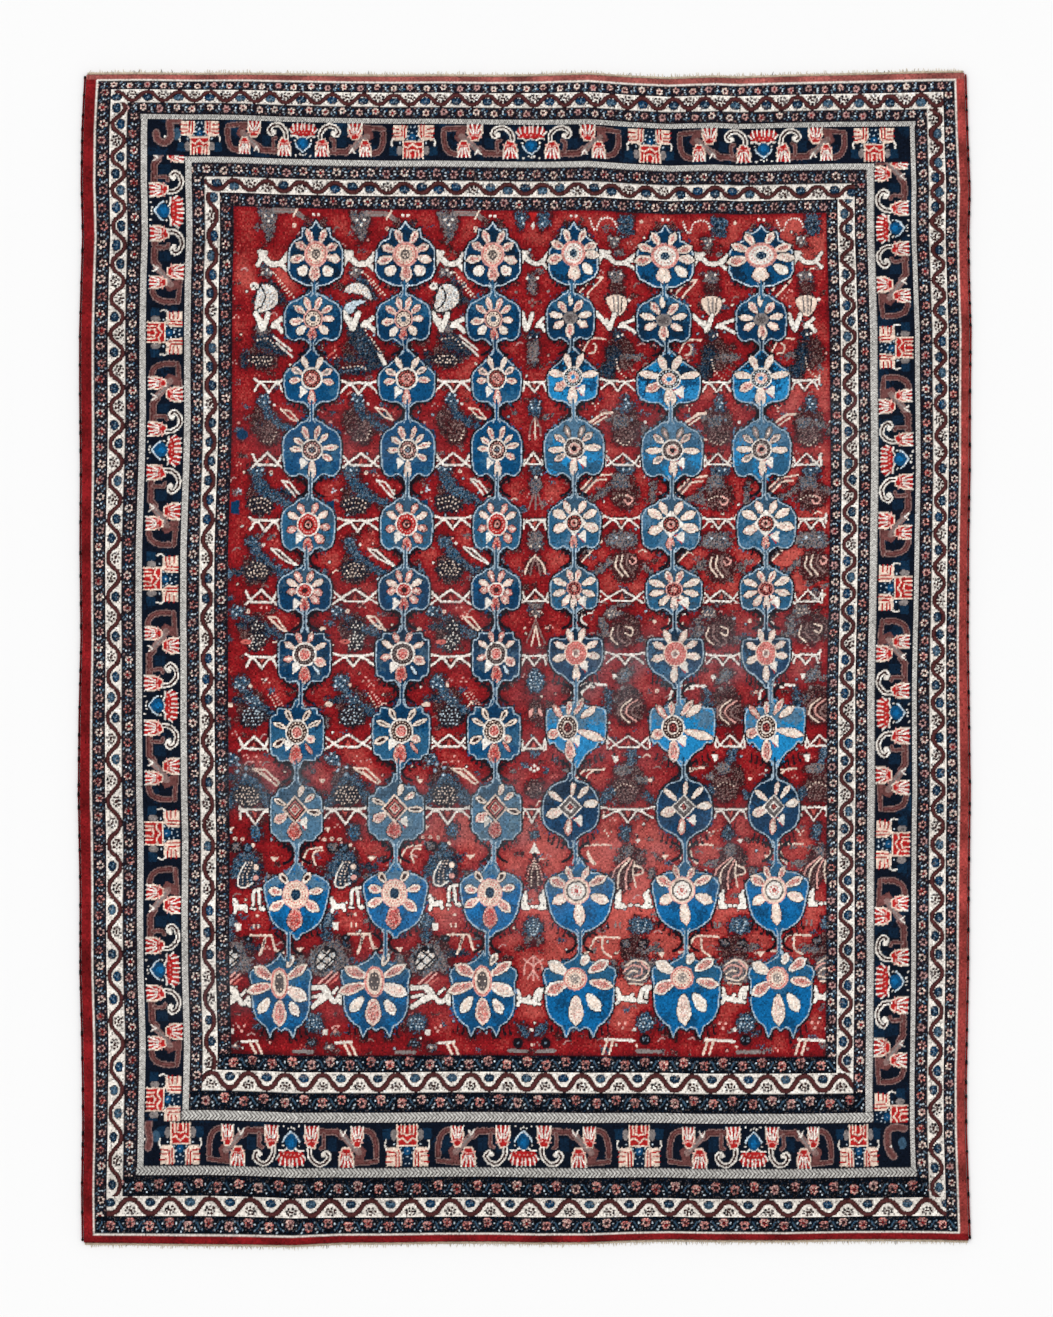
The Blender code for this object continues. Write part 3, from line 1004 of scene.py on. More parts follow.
def medallion_body(chart, row, column, draws):
    """A medallion's outline, filled with its low yarn, patches of a second and its top yarn above."""
    top, bottom, middles, halves = MEDALLION_ROWS[row]
    tall = (top - bottom) / 2
    shape, top_yarn, low_yarn, patch_yarn = GROUNDS[row][column > 2]
    y = (top + bottom) / 2
    pen = Pen(chart, middles[column], y, halves[column], tall)
    outline = list(shape) + [(-u, v) for u, v in shape[::-1]]
    if shape not in (CROWN, HIDE):
        outline = smooth(outline, closed=True)
    pen.line("ink", outline, BODY_RIM, closed=True)
    pen.area(low_yarn, outline)
    spots = pen.spots(outline)

    def upper(px, py):
        """Whether places lie in the body's upper part, above a wavy line."""
        wave = ripple(px, py, draws, 55.0)
        return inside_area(px, py, spots) & (py > y + tall * (0.28 + 0.25 * wave))

    def patch(px, py):
        """Whether places lie in one of the body's patches."""
        return inside_area(px, py, spots) & (ripple(px, py, draws, 42.0) > PATCH_FROM)

    chart.paint(patch_yarn, spots, patch, stray=BODY_STRAY)
    chart.paint(top_yarn, spots, upper, stray=BODY_STRAY)
    pen.line("frost" if row else "pale", outline, 2.0, closed=True)


def medallion(chart, row, column, draws):
    """One medallion with its flower, which is wider or narrower than charted as its medallion is."""
    medallion_body(chart, row, column, draws)
    top, bottom, middles, halves = MEDALLION_ROWS[row]
    right = column > 2
    (dx, dy), layers, petals = FLOWERS[2 * row + right]
    wide = halves[column] / halves[3 if right else 0]
    eye = Pen(chart, middles[column] + dx * wide, (top + bottom) / 2 + dy, wide, 1.0)
    for angle, distance, length, width, ink, core in petals:
        petal(eye, angle + draws.uniform(-4, 4), distance, length, width, ink, core)
    if row in SAILS:
        side = 1 if right or row == 8 and column < 2 else -1
        if side > 0:
            eye.area("cherry", [(4, -18), (16, -18), (17, -36)])
        eye.area("ivory", [(side * 17, -13), (side * 21, -15), (side * 20, -34), (side * 6, -22)])
    rings(eye, layers)


# A curl beside a neck, to the right of its middle, and how far out along a medallion's foot its tassels hang
CURL = ((22, 17), (11, 10), (6, 0), (11, -10), (22, -16))
TASSEL_SHARES = (0.26, 0.44, 0.62, 0.8)


def curls(chart, draws):
    """The dark curls that hug the necks and hang below the medallions."""
    for row, (_, bottom, middles, halves) in enumerate(MEDALLION_ROWS):
        for column, (x, half) in enumerate(zip(middles, halves)):
            if row < len(MEDALLION_ROWS) - 1:
                low_x = MEDALLION_ROWS[row + 1][2][column]
                neck = Pen(chart, (x + low_x) / 2, gap_middle(row + 1))
                for side in (-1, 1):
                    neck.line("ink", [(side * u, v) for u, v in CURL], 5.0, rounded=True)
            foot = Pen(chart, x, bottom)
            for share in TASSEL_SHARES:
                for side in (-1, 1):
                    out = side * share * half
                    top = 26 * max(share - 0.3, 0)
                    drop = draws.uniform(5, 11)
                    foot.line("ink", [(out, top + 4), (out + side * 1.5, top - drop)], 2.8)
                    foot.dots(draws.choice(("umber", "ink", "soil")), [(out + side * 3, top - drop)], 5.2)


def necks(chart):
    """The necks that join each column's medallions."""
    for row, (here, below) in enumerate(zip(MEDALLION_ROWS, MEDALLION_ROWS[1:])):
        half = (here[1] - below[0]) / 2
        for column in range(6):
            pen = Pen(chart, (here[2][column] + below[2][column]) / 2, gap_middle(row + 1))
            pen.line("ink", [(0, half - 4), (0, 4 - half)], 10 if row < 5 else 7)
            for side in (-1, 1):
                pen.line("frost", [(side * 6, half + 5), (side * 2.8, half), (side * 2.6, -half),
                                   (side * 6, -half - 5)], 1.8)
            yarn = GROUNDS[row + 1][column > 2][1]
            pen.line(yarn, [(0, half + 9), (0, -half - 9)], 3.4)


# ---- Birds, plants, trestles and beasts ----

# The mixture that fills a figure's shapes of each yarn, and how far the dim halo round them reaches, in mm
SHADED = {"slate": "feather", "soot": "smoke", "ash": "smoke", "navy": "shadow", "dusk": "shadow",
          "umber": "soil", "mist": "plume", "drab": "smoke"}
HALO = 6.0
MURKY_SIZE = 10.0              # half width over which an ink blob is murky
SPECKS = random.Random(21)
SPECK_SIZE = 2.6
SPECK_JITTER = 1.3
BEAD_STEPS = 6


def figures_in(text):
    """The figures charted in a text, each a list of strokes, with a blank line between two figures.

    A line is a stroke: its kind, its yarn, its plain numbers and its places as x,y, all in mm from the
    figure's middle. A stroke that starts with the word both is drawn again on the other side of the middle.
    line, curve, dots: thickness, then the places
    beads: size and spacing, then the places that they run through
    blob: its lean in degrees if it leans, then its middle and its half width,half height
    speckle: spacing, then its middle and its half width,half height
    area, round: the outline's places, joined straight or rounded
    """
    figures = []
    for block in text.strip().split("\n\n"):
        strokes = []
        for line in block.splitlines():
            kind, ink, *marks = line.removeprefix("both ").split()
            numbers = [float(mark) for mark in marks if "," not in mark]
            places = [tuple(map(float, mark.split(","))) for mark in marks if "," in mark]
            strokes.append((kind, ink, numbers, places))
            if line.startswith("both "):
                turned = 1 if kind == "blob" else len(places)
                over = [(-x, y) for x, y in places[:turned]] + places[turned:]
                lean = [-number for number in numbers] if kind == "blob" else numbers
                strokes.append((kind, ink, lean, over))
        figures.append(strokes)
    return figures


def beads(pen, ink, size, gap, points):
    """Small round dots strung evenly along a rounded line."""
    path = smooth(points, steps=BEAD_STEPS)
    run = np.concatenate([[0], np.cumsum(np.hypot(*np.diff(path, axis=0).T))])
    marks = np.arange(0, run[-1] + 0.1, gap)
    spots = [np.interp(marks, run, path[:, axis]) for axis in (0, 1)]
    pen.dots(ink, np.stack(spots, axis=1), size)


def speckle(pen, ink, gap, middle, halves):
    """An oval of small dots in staggered rows, each a little out of its place."""
    marks = []
    for row in np.arange(-halves[1], halves[1] + 0.1, gap):
        shift = gap / 2 if round(row / gap) % 2 else 0.0
        for over in np.arange(-halves[0] + shift, halves[0] + 0.1, gap):
            if (over / halves[0]) ** 2 + (row / halves[1]) ** 2 <= 1:
                marks.append((middle[0] + over + SPECKS.uniform(-SPECK_JITTER, SPECK_JITTER),
                              middle[1] + row + SPECKS.uniform(-SPECK_JITTER, SPECK_JITTER)))
    pen.dots(ink, marks, SPECK_SIZE)


def sketch(pen, strokes):
    """Draw a figure: a dim halo round its shaded shapes first, and then its strokes in turn."""
    for kind, ink, numbers, places in strokes:
        if ink in SHADED and kind in ("area", "round"):
            pen.line("dim", places, HALO, rounded=kind == "round", closed=True)
        elif ink in SHADED and kind == "blob":
            pen.blob("dim", *places[0], places[1][0] + HALO / 2, places[1][1] + HALO / 2)
    for kind, ink, numbers, places in strokes:
        if kind in ("area", "round", "blob"):
            ink = SHADED.get(ink, ink)
        if ink == "ink" and (kind == "round" or kind == "blob" and places[1][0] > MURKY_SIZE):
            ink = "murk"
        if kind in ("area", "round"):
            pen.area(ink, places, rounded=kind == "round")
        elif kind in ("line", "curve"):
            pen.line(ink, places, *numbers, rounded=kind == "curve")
        elif kind == "blob":
            pen.blob(ink, *places[0], *places[1], *numbers)
        elif kind == "dots":
            pen.dots(ink, places, *numbers)
        elif kind == "beads":
            beads(pen, ink, *numbers, places)
        elif kind == "speckle":
            speckle(pen, ink, *numbers, *places)


# Birds of the left half, one figure for each gap between rows of medallions, facing left
LEFT_BIRDS = figures_in("""
area slate -8,17 5,19 20,0 28,-18 14,-12 0,4
beads cream 3.2 5.4 5,27 20,12 40,-12
beads cream 3 5.4 14,14 34,-10
blob soot -6,26 10,8
dots ivory 4.4 -11,25 -5,29 4,26
round ink -24,-4 -12,11 4,11 18,-2 21,-20 8,-14 -4,-10
round quilt -21,-4 -12,8 3,8 15,-3 18,-17 9,-12 -3,-7
round ink -25,-39 -22,-24 -10,-16 9,-16 12,-22 -2,-28 -9,-42
round pale -22,-37 -20,-26 -9,-19 8,-18 9,-20 -4,-27 -11,-38
speckle soot 5.6 -10,-26 10,8
dots cream 5.5 40,-28

round navy -18,33 -4,41 8,21 26,-7 40,-31 24,-35 2,-21 -13,3
speckle mist 7.6 6,4 12,26
beads cream 3 5.6 9,22 34,-16
area ivory 25,-12 32,-16 47,-40 36,-34
area dusk -34,-20 -27,-38 14,-30 30,-25 16,-44 -20,-47 -36,-42
beads cream 2.8 5.6 -24,-36 0,-34 12,-40
beads mist 2.8 5.6 -22,-42 10,-36
line rose 3 -46,-18 -38,-12
dots cream 3.4 -48,-21 -36,-9

area slate -7,14 5,14 11,-3 22,-11 46,-24 40,-28 16,-22 0,-10
speckle navy 5.4 8,-6 12,10
blob slate -2,19 10,11
dots pale 3.4 -9,20 -4,27 4,26 7,18 -2,17
round umber -6,-14 10,-12 20,-26 16,-46 2,-50 -10,-38 -2,-30
speckle drab 5.6 5,-30 13,17
beads cream 2.7 5.6 16,-30 10,-44 -4,-44
blob deep -35,-34 9,8
dots ivory 4.8 14,13
dots salmon 5 -41,-16 33,-36
line cream 2.7 24,7 38,4 50,-12 38,-8 24,7

area slate -18,20 -3,20 16,-4 48,-24 50,-30 20,-24 -6,-8 -15,4
speckle navy 6.4 4,-2 16,12
blob slate -10,29 12,10
dots pale 3.6 -18,30 -12,37 -4,34 -10,27 -2,28
round ink -22,-16 -4,-13 14,-18 18,-30 6,-42 -14,-42 -24,-30
beads cream 2.8 5.4 -18,-20 0,-16 12,-24
beads cream 2.8 5.4 -19,-27 -2,-23 12,-32
beads cream 2.8 5.4 -16,-35 -2,-31 8,-38
area deep -46,-22 -34,-20 -34,-42 -46,-40
dots pale 4 -37,-7 -33,-5 -36,-2 43,-31
dots cream 6.4 12,24
dots umber 2.7 12,24
line ivory 3 28,12 40,9 58,-17 48,-13 28,12

area slate -13,20 2,20 13,5 36,-14 52,-22 40,-27 12,-14 -8,6
speckle dusk 5.6 4,4 14,14
blob slate -9,27 10,10
dots mist 3.2 -15,28 -9,34 -3,29
dots ivory 5.6 7,24
round ink -17,-6 -2,0 14,-8 20,-22 6,-33 -12,-32 -22,-20
speckle cream 5.2 -1,-17 17,14
area mist -50,-28 -46,-10 -38,-24 -42,-32
dots rose 4 20,32 27,30 24,42
area umber 19,17 30,15 58,-10 44,-4
line ivory 3 18,18 30,16 44,2 60,-11
line ivory 2.8 18,18 32,4 46,-4 60,-11
blob pale 36,-30 6,3.4

area slate -20,6 -4,8 20,-10 46,-24 50,-32 18,-24 -8,-8
blob slate -25,13 11,10
dots pale 3.6 -32,14 -26,20 -20,15 -27,9
dots cream 7 -10,14
dots cherry 2.8 -10,14
round ink -10,0 6,0 14,-14 14,-38 0,-50 -12,-46 -4,-28
speckle ivory 5.2 2,-10 8,8
speckle ivory 5.2 1,-34 12,16
blob rose -14,-34 8,4
dots maroon 2.8 -14,-34
line cream 3 18,6 30,5 46,-18 36,-13 18,6
line cream 2.7 22,0 34,-12
dots salmon 3.4 12,26 8,20 16,20
blob cream -47,-14 4.4,3.4
dots cream 5.6 32,-44

area slate -20,14 -6,12 10,-8 42,-30 44,-38 20,-32 0,-22 -10,-4
blob slate -16,19 12,12
dots pale 3.4 -23,20 -16,27 -10,22 -18,15 -24,12 -12,12
speckle pale 7 2,-8 12,10
dots cream 6 -2,14
round ink -14,-26 2,-18 18,-24 22,-40 8,-52 -10,-52 -18,-40
speckle pale 5.2 2,-35 17,16
beads cream 2.8 5 24,1 30,-8 38,-23
beads salmon 2.8 5 34,0 42,-10 48,-24
beads salmon 2.8 5 30,3 36,-6 44,-24
dots salmon 3.6 21,26 17,20 25,20
blob cream -33,-16 6,4
dots pale 7 30,-49
area drab -44,-40 -34,-34 -30,-50 -44,-52

area slate -6,-4 8,-4 40,-48 40,-58 26,-58 6,-26 -28,-58 -44,-56 -20,-26
blob slate -24,20 11,10
dots pale 3.6 -31,22 -25,28 -18,23 -25,16
dots mist 7 -14,11 -3,6 -16,1 -4,-5
dots pale 2.8 -14,11 -3,6 -16,1 -4,-5
blob ink -2,-38 20,19
speckle cream 5 -2,-38 18,17
line cream 3 8,5 26,4 46,-16 42,-20 32,-12 8,5
line cream 2.7 20,0 34,-12
area cream -43,-12 -33,-12 -38,-19
dots salmon 3.6 12,24 8,16 18,16

area slate -14,2 8,2 14,-12 -4,-14 -18,-40 -32,-38 -26,-16
blob slate 10,34 9,13
speckle azure 5.6 10,32 7,11
dots mist 3.2 6,42 12,38 16,30
dots cream 6.6 -33,22 -22,23 -11,22 5,13
dots rose 2.8 -33,22 -22,23 -11,22
blob ink -21,9 9,9
blob ash -21,9 6.5,6.5
blob ink -4,8 8,8
blob mist -4,8 5.5,5.5
round navy -8,-12 6,-8 18,-20 16,-40 2,-52 -16,-54 -19,-42 -12,-26
curve ivory 2.8 -6,-14 -16,-34 -17,-50 -8,-54 4,-46
beads cream 2.8 5 -2,-14 -10,-34 -10,-52
beads cream 2.8 5 3,-14 -4,-34 -2,-50
blob cream 9,-21 4,4.6
blob salmon 9,-38 4.6,4
beads pale 2.8 5 8,-28 2,-40 4,-50
curve cream 3 -66,-16 -62,-2 -54,8 -36,10
curve cream 3 -46,-18 -50,-4 -46,4 -36,5
area cream -33,41 -23,41 -28,34
area cream 30,-5 43,-5 36,-13
area drab 26,-30 40,-34 38,-54 22,-52

area drab -24,-2 0,4 14,-24 20,-52 -4,-40 -30,-44 -44,-30 -34,-12
speckle ash 6 -16,-20 26,22
blob slate -18,34 13,13
beads pale 2.7 5.2 -26,28 -20,44
beads mist 2.7 5.2 -16,28 -12,46
area ivory -8,31 1,31 1,20 -6,19
blob slate -17,11 8,10
blob ink 12,7 7,6
dots mist 4 12,7
line cream 3.4 15,13 46,13
line cream 4.6 38,12 33,-6 29,-17
line cream 4 46,13 52,-10 64,-13
line soot 2.7 36,6 34,-4
blob ash -19,-28 24,24
speckle mist 6.4 -19,-28 23,23
round ink -35,-36 -31,-18 -18,-7 -5,-11 -1,-24 -11,-40 -26,-46
round quilt -32,-35 -28,-19 -18,-10 -7,-13 -4,-24 -13,-37 -25,-42
line ink 2.8 -31,-22 -11,-39
line ink 2.8 -24,-12 -4,-29
line ink 2.8 -31,-35 -9,-13
line ink 2.8 -22,-42 -3,-22
blob ink -17,-9 4.4,5
blob ink -8,-12 4,4.4
line salmon 3 -28,-64 -8,-46
line salmon 3 -20,-66 -1,-48
line rose 3 -12,-66 2,-54
area cream -61,-6 -50,-6 -55,-14
area drab -60,-18 -50,-18 -46,-40 -64,-40
dots cream 5 25,44
line cream 2.7 20,30 20,25
line cream 2.7 27,30 27,25
""")
# Birds of the right half, one for each gap, facing the other way
RIGHT_BIRDS = figures_in("""
blob soot -1,22 11,10
dots ivory 4.2 -8,24 5,25
blob umber 0,4 11,9
round ink -18,-12 0,-6 15,-12 14,-30 0,-44 -12,-32
round cream -16,-14 0,-8 13,-14 12,-29 0,-41 -11,-30
line ash 3.2 -6,-12 -4,-34
line ash 3.2 1,-10 1,-38
line soot 2.7 7,-12 5,-34
dots ivory 6 17,-15
line cream 3.2 -56,-7 -36,17 -22,18
line cream 3.2 -44,-9 -26,12 -22,18
line cream 2.8 -56,-7 -50,-10
dots cream 5.4 -37,-28

blob dusk -4,17 8,9
dots ivory 4 -2,15 4,17
curve cream 3 -52,-10 -46,2 -40,9 -30,10 -20,9
curve cream 2.8 -44,-14 -36,-12 -34,-2 -38,2
round ink -20,-4 -4,2 4,-16 -2,-36 -6,-54 -26,-54 -30,-36 -18,-24
round dusk -16,-6 -6,-2 0,-16 -6,-34 -12,-50 -24,-50 -26,-38 -14,-24
beads drab 2.8 4.8 2,-16 8,-36 24,-50
beads cream 2.8 4.8 -4,-22 0,-40 14,-54
beads drab 2.8 4.8 8,-14 14,-30 28,-42
area dusk -36,-38 -30,-36 -28,-52 -38,-50

round slate -2,2 0,22 8,27 13,14 9,0
dots pale 3.4 4,20 8,14 5,8
dots mist 5 -9,5 13,-12
round soot -12,-10 4,-6 8,-18 2,-28 -12,-26
speckle slate 5.2 -2,-16 9,9
blob umber 3,-38 17,15
speckle drab 5.2 3,-38 16,14
beads cream 2.7 5.2 -8,-46 4,-52 16,-40
line cream 4.2 -49,-19 -28,-3 -16,-2
line cream 3 -43,-22 -24,-8
dots cream 3 -40,8 -36,11 -44,11 -40,3
dots ivory 5.6 33,-15
blob soot 32,-30 4,9
blob ash -37,-36 4,4

round slate -10,22 -4,38 8,42 16,30 10,18
dots pale 3.6 -2,34 6,36 9,28 0,26
round soot -16,14 2,18 10,4 4,-8 -14,-6
speckle slate 5.4 -4,4 10,9
blob umber 1,-18 17,17
beads drab 2.8 4.8 -12,-10 -4,-4 10,-8
beads cream 2.8 4.8 -14,-20 -2,-14 12,-18
beads drab 2.8 4.8 -8,-30 2,-24 14,-28
curve salmon 2.7 6,-14 14,-20 8,-28 2,-22
line cream 3.2 -66,-11 -43,15 -18,18
line cream 3 -58,-14 -40,8 -24,10
line soot 3.2 -58,-8 -40,12
area ash -50,-20 -30,-6 -16,4 -20,-10 -40,-24
area ash 40,8 48,8 46,-28 38,-24

round soot -26,24 -18,42 0,46 16,38 18,22 -2,16
dots pale 4 -11,34 7,34
beads mist 2.8 5.4 -18,26 -12,40
beads mist 2.8 5.4 12,26 6,42
round umber -14,6 4,12 20,2 18,-22 2,-32 -12,-22
curve cream 2.7 -10,4 -12,-12 -2,-26
curve cream 2.7 -2,6 -4,-10 6,-26
curve drab 2.7 6,6 4,-8 14,-22
curve salmon 2.8 12,4 18,-2 12,-8 8,-2
area soot -64,-6 -50,22 -34,24 -46,12
line cream 3 -78,-6 -52,25 -32,27
line cream 3 -64,-8 -46,13 -32,27
area ash -50,-24 -20,2 -16,-6 -40,-30
area ash 24,-4 32,-6 44,-22 38,-28

round ash -8,24 -2,42 8,44 12,26
dots pale 3.4 2,36 6,30
dots cream 6 15,36
blob soot -16,11 13,10
speckle cream 5.6 -16,11 11,8
blob umber -5,-22 17,20
curve cream 2.7 -16,-12 -20,-26 -10,-38
curve drab 2.7 -8,-8 -10,-24 0,-36
curve cream 2.8 2,-10 12,-14 10,-24 2,-20
curve drab 2.7 4,-26 10,-34 2,-40
curve ivory 3.8 -74,-6 -72,8 -62,14 -46,16
curve ivory 3.4 -56,-8 -64,0 -60,8 -48,11
area ash -38,4 -28,2 -22,-26 -46,-34 -50,-28 -36,-22
area ash 18,-26 42,-30 42,-36 18,-32
dots cream 6.4 44,-1

round ash -14,16 -10,32 4,40 8,30 -2,18
beads mist 2.8 5 -8,22 2,36
area ivory -22,29 -16,29 -14,24 -19,19
dots ash 6 -7,7
round umber -12,-14 0,-8 18,-12 26,-30 14,-48 -4,-50 -16,-34
curve salmon 2.7 16,-12 2,-22 0,-34 14,-46
curve cream 2.7 8,-10 -6,-22 -8,-36 4,-48
curve drab 2.7 22,-18 10,-24 8,-34 22,-42
curve drab 2.7 0,-10 -12,-24 -12,-36
curve ivory 4.2 -82,-10 -78,4 -64,12 -30,11
curve ivory 4.4 -66,-12 -66,-2 -58,7 -48,8
line ink 2.8 -72,-8 -70,4
area slate -33,10 -25,6 -20,-20 -32,-48 -42,-44 -32,-18
area slate 33,-28 40,-28 38,-46 30,-46
dots cream 7 44,2
dots rose 2.8 44,2

round slate -4,12 0,32 10,38 12,24 4,10
beads mist 2.8 5 2,14 8,34
area ivory -25,24 -16,24 -15,17 -20,12
dots ink 5 -21,27
blob soot -8,2 13,9
speckle ash 5.2 -8,2 11,7
blob umber -5,-30 20,21
speckle drab 5.2 -5,-30 19,20
beads cream 2.7 5.4 -20,-30 -8,-20 10,-26
line cream 3.2 -80,-16 -66,1 -36,3
line cream 3 -66,-18 -60,-6 -50,2
area slate -56,-50 -26,-24 -18,-34 -44,-62
area slate 18,-38 24,-32 48,-52 42,-58
dots cream 6.6 31,-14 -36,-70

round slate -14,24 -8,40 0,42 2,28 -4,16
beads mist 2.7 5 -8,24 -4,38
area ivory 8,19 18,19 13,12
dots ink 4.4 12,23 50,-2
dots cream 3.4 -32,29 -26,31 -36,33 -30,24
beads drab 3.2 5 24,20 36,18
curve cream 3 -74,-12 -72,4 -60,10 -26,10
curve cream 5.2 -60,-1 -56,-12 -50,-19
beads ash 3.4 5.4 -26,6 -10,3
blob soot -1,0 8,11
round umber 0,-8 10,-16 4,-40 -6,-62 -26,-58 -26,-36 -14,-18
curve salmon 2.8 0,-10 -20,-28 -26,-50
curve cream 2.8 2,-12 -14,-32 -16,-58
curve salmon 2.8 5,-14 -4,-36 -4,-60
curve cream 2.8 8,-16 6,-34 10,-56
curve cream 2.9 8,-22 18,-26 20,-34 8,-38
area cream 48,-6 58,-6 53,-14
area ash 26,-26 36,-26 38,-42 28,-40

round slate -6,18 -2,36 14,40 30,30 24,16 10,14
beads pale 2.7 5 8,18 6,36
beads pale 2.7 5 14,18 20,34
beads mist 2.7 5 2,20 -2,32
blob ink -11,-1 8,8
blob ash -11,-1 5.4,5.4
blob ink 15,-2 8,8
blob ash 15,-2 5.4,5.4
curve cream 3.4 -78,-16 -66,-14 -60,-2 -52,9 -20,8
curve cream 3.4 -45,6 -44,-12 -32,-22
blob drab 6,-44 22,21
curve cream 2.9 -10,-36 4,-28 20,-34 22,-48 10,-60 -8,-56
curve salmon 2.9 -14,-46 -2,-36 12,-40 12,-50 2,-54
curve cream 2.9 -8,-50 0,-44 6,-46
line salmon 2.8 10,-30 24,-44
line cream 2.8 -6,-64 14,-66
area ash -32,-28 -24,-26 -20,-52 -32,-48
area ash 26,-28 34,-26 32,-46 26,-44
line ash 2.8 -26,32 -26,24
line ash 2.8 -19,32 -19,24
area cream 36,-15 48,-15 42,-24
dots ink 4 40,-8 38,4 42,14
""")
# The small plants on the middle line, one for each gap
PLANTS = figures_in("""
blob soot 0,18 9,10
dots ivory 4.8 -9,20 9,20
blob soot 0,2 8,9
speckle drab 5.2 0,2 6,8
dots drab 5 0,-18 -5,-22 5,-22 0,-28
dots ash 5 28,-4 -28,-4

blob dusk 0,18 10,9
dots pale 3.8 -6,14 6,14
round soot -9,4 0,8 9,4 8,-26 0,-36 -8,-26
beads drab 2.8 5.2 -4,2 -4,-26
beads ash 2.8 5.2 4,2 4,-26

round slate -11,12 0,26 11,12 6,-6 -6,-6
both beads pale 3 5 -8,18 -5,4
curve drab 2.8 0,-8 -8,-24 -10,-40
curve cream 2.8 0,-8 0,-28 0,-46
curve drab 2.8 0,-8 8,-24 10,-40
dots salmon 4 -10,-40 10,-40 0,-46

round slate -12,38 0,46 12,38 7,22 -7,22
both beads mist 2.8 5 -8,40 -3,26
dots ivory 5 0,17
round soot -8,12 8,12 10,-4 0,-14 -10,-4
speckle slate 5.2 0,2 7,9
both curve drab 2.8 -4,-12 -8,-26 -12,-38
line ash 2.8 0,-14 0,-38

round soot -14,30 -8,46 8,46 14,30 6,16 -6,16
both beads ash 2.8 5 -9,40 -3,24
dots cream 3.6 -7,22 7,22
round umber 0,8 14,-4 16,-26 0,-14 -16,-26 -14,-4
both curve cream 2.8 0,6 -12,-8 -18,-26
both curve drab 2.8 -2,0 -6,-14 -9,-28

round soot -12,30 -6,40 6,40 12,30 6,20 -6,20
both beads ash 2.8 5 -7,37 -2,24
blob soot 0,11 9,8
dots cream 3.8 -6,14 6,14 0,6
both curve drab 2.8 0,2 -7,-18 -16,-40
both curve cream 2.8 0,-10 -4,-30 -7,-44
dots cream 4 -18,-14 18,-14

round slate -15,22 -6,40 6,40 15,22 8,2 -8,2
speckle pale 6.2 0,22 13,17
blob mist 0,20 4,5
round umber -12,-32 0,-8 12,-32 6,-46 -6,-46
both blob salmon -20 -8,-32 3,8
blob drab 0,-34 3,9

area mist -9,34 9,34 4,24 -4,24
dots ivory 5.4 0,9 0,0 -6,4 6,4
round umber -14,-26 -6,-16 6,-16 14,-26 8,-44 -8,-44
speckle drab 5.2 0,-28 12,14
dots salmon 3.6 -10,-30 10,-30

blob slate 0,31 8,9
beads mist 2.8 5 0,26 0,38
area ivory 0,18 -9,0 -2,-2 0,4 2,-2 9,0
blob ink 0,-4 4,5
round umber 0,-8 10,-28 12,-52 0,-62 -12,-52 -10,-28
both beads salmon 2.7 4.8 0,-10 -10,-30 -14,-50
both beads cream 2.7 4.8 0,-14 -5,-34 -6,-58

round slate -17,20 -12,40 0,46 12,40 17,20 0,12
beads pale 2.7 5 0,16 0,42
both beads pale 2.7 5 -3,16 -11,38
both blob drab -9,4 6,7
blob maroon 0,0 5,8
both curve salmon 2.8 0,-22 -14,-36 -16,-54
both curve salmon 2.8 -16,-28 0,-42 -10,-62
line salmon 2.8 0,-24 0,-64
""")
# The strip above the first row: the left half's figure, the middle line's and the right half's
TOP_STRIP = figures_in("""
area ash -20,26 18,26 13,4 6,-16 0,-30 -8,-16 -14,4
speckle soot 6.4 0,6 14,18
line ash 8 10,22 44,22 60,12
line drab 3.2 12,23 44,23 58,14
dots ivory 4.6 -7,12 6,12 0,4
dots cream 7 45,-2
dots rose 3 45,-2
line cream 3 52,27 44,13

area slate -30,26 -8,26 -12,4 -20,-8 -28,4
area slate 30,26 8,26 10,4 18,-8 28,4
dots pale 3.6 -20,16 20,16 -16,6 16,6
area cherry -8,24 8,24 0,8
area ivory 0,10 -4,2 0,-4 4,2

beads ivory 3.4 5 -52,15 -46,0 -40,-4 -36,8 -28,16 -11,15 -4,-2
area slate -2,24 24,22 24,-8 10,-14 -2,-6
blob navy 10,5 9,9
dots mist 4 10,5
area ash -20,-12 2,-14 -2,-32 -14,-32
dots ivory 3.8 -14,-18 -4,-18 -9,-26
dots cream 6 38,14
""")
# The same for the strip below the last row
LOW_STRIP = figures_in("""
round slate -40,30 -34,46 -16,48 -8,34 -16,18 -32,18
speckle pale 6.4 -24,32 12,12
area ivory -10,21 -1,21 -1,12 -10,12
dots salmon 5 8,24 17,27 12,18
blob ink -29,-2 11,10
speckle mist 5.4 -29,-2 8,8
blob soot 1,-9 8,7
dots cream 4.4 1,-9
line ivory 4.4 13,-2 40,0
line cream 4 27,-2 37,-22
line cream 4 38,-1 48,-22
line ash 6 -60,-16 -28,-17

both area slate -30,34 -8,26 -4,6 -20,10
dots ivory 6.4 0,20
both blob ink -24,-3 9,9
dots mist 4 -24,-3 24,-3
line ash 6 -40,-16 -10,-17
line ash 6 10,-17 40,-16
dots cream 4.6 0,-6

round slate 6,26 10,42 26,46 38,34 30,16 14,14
speckle pale 6.4 21,29 13,12
dots ivory 7 2,19
dots salmon 5 -24,29 -13,29 -18,21
blob ink 21,2 10,9
speckle mist 5.2 21,2 7,7
line ash 6 8,-17 46,-17
line ivory 4.4 -48,3 2,0
line cream 4 -44,2 -52,-21
line cream 4 -34,2 -41,-21
dots cream 4.6 6,-8
""")
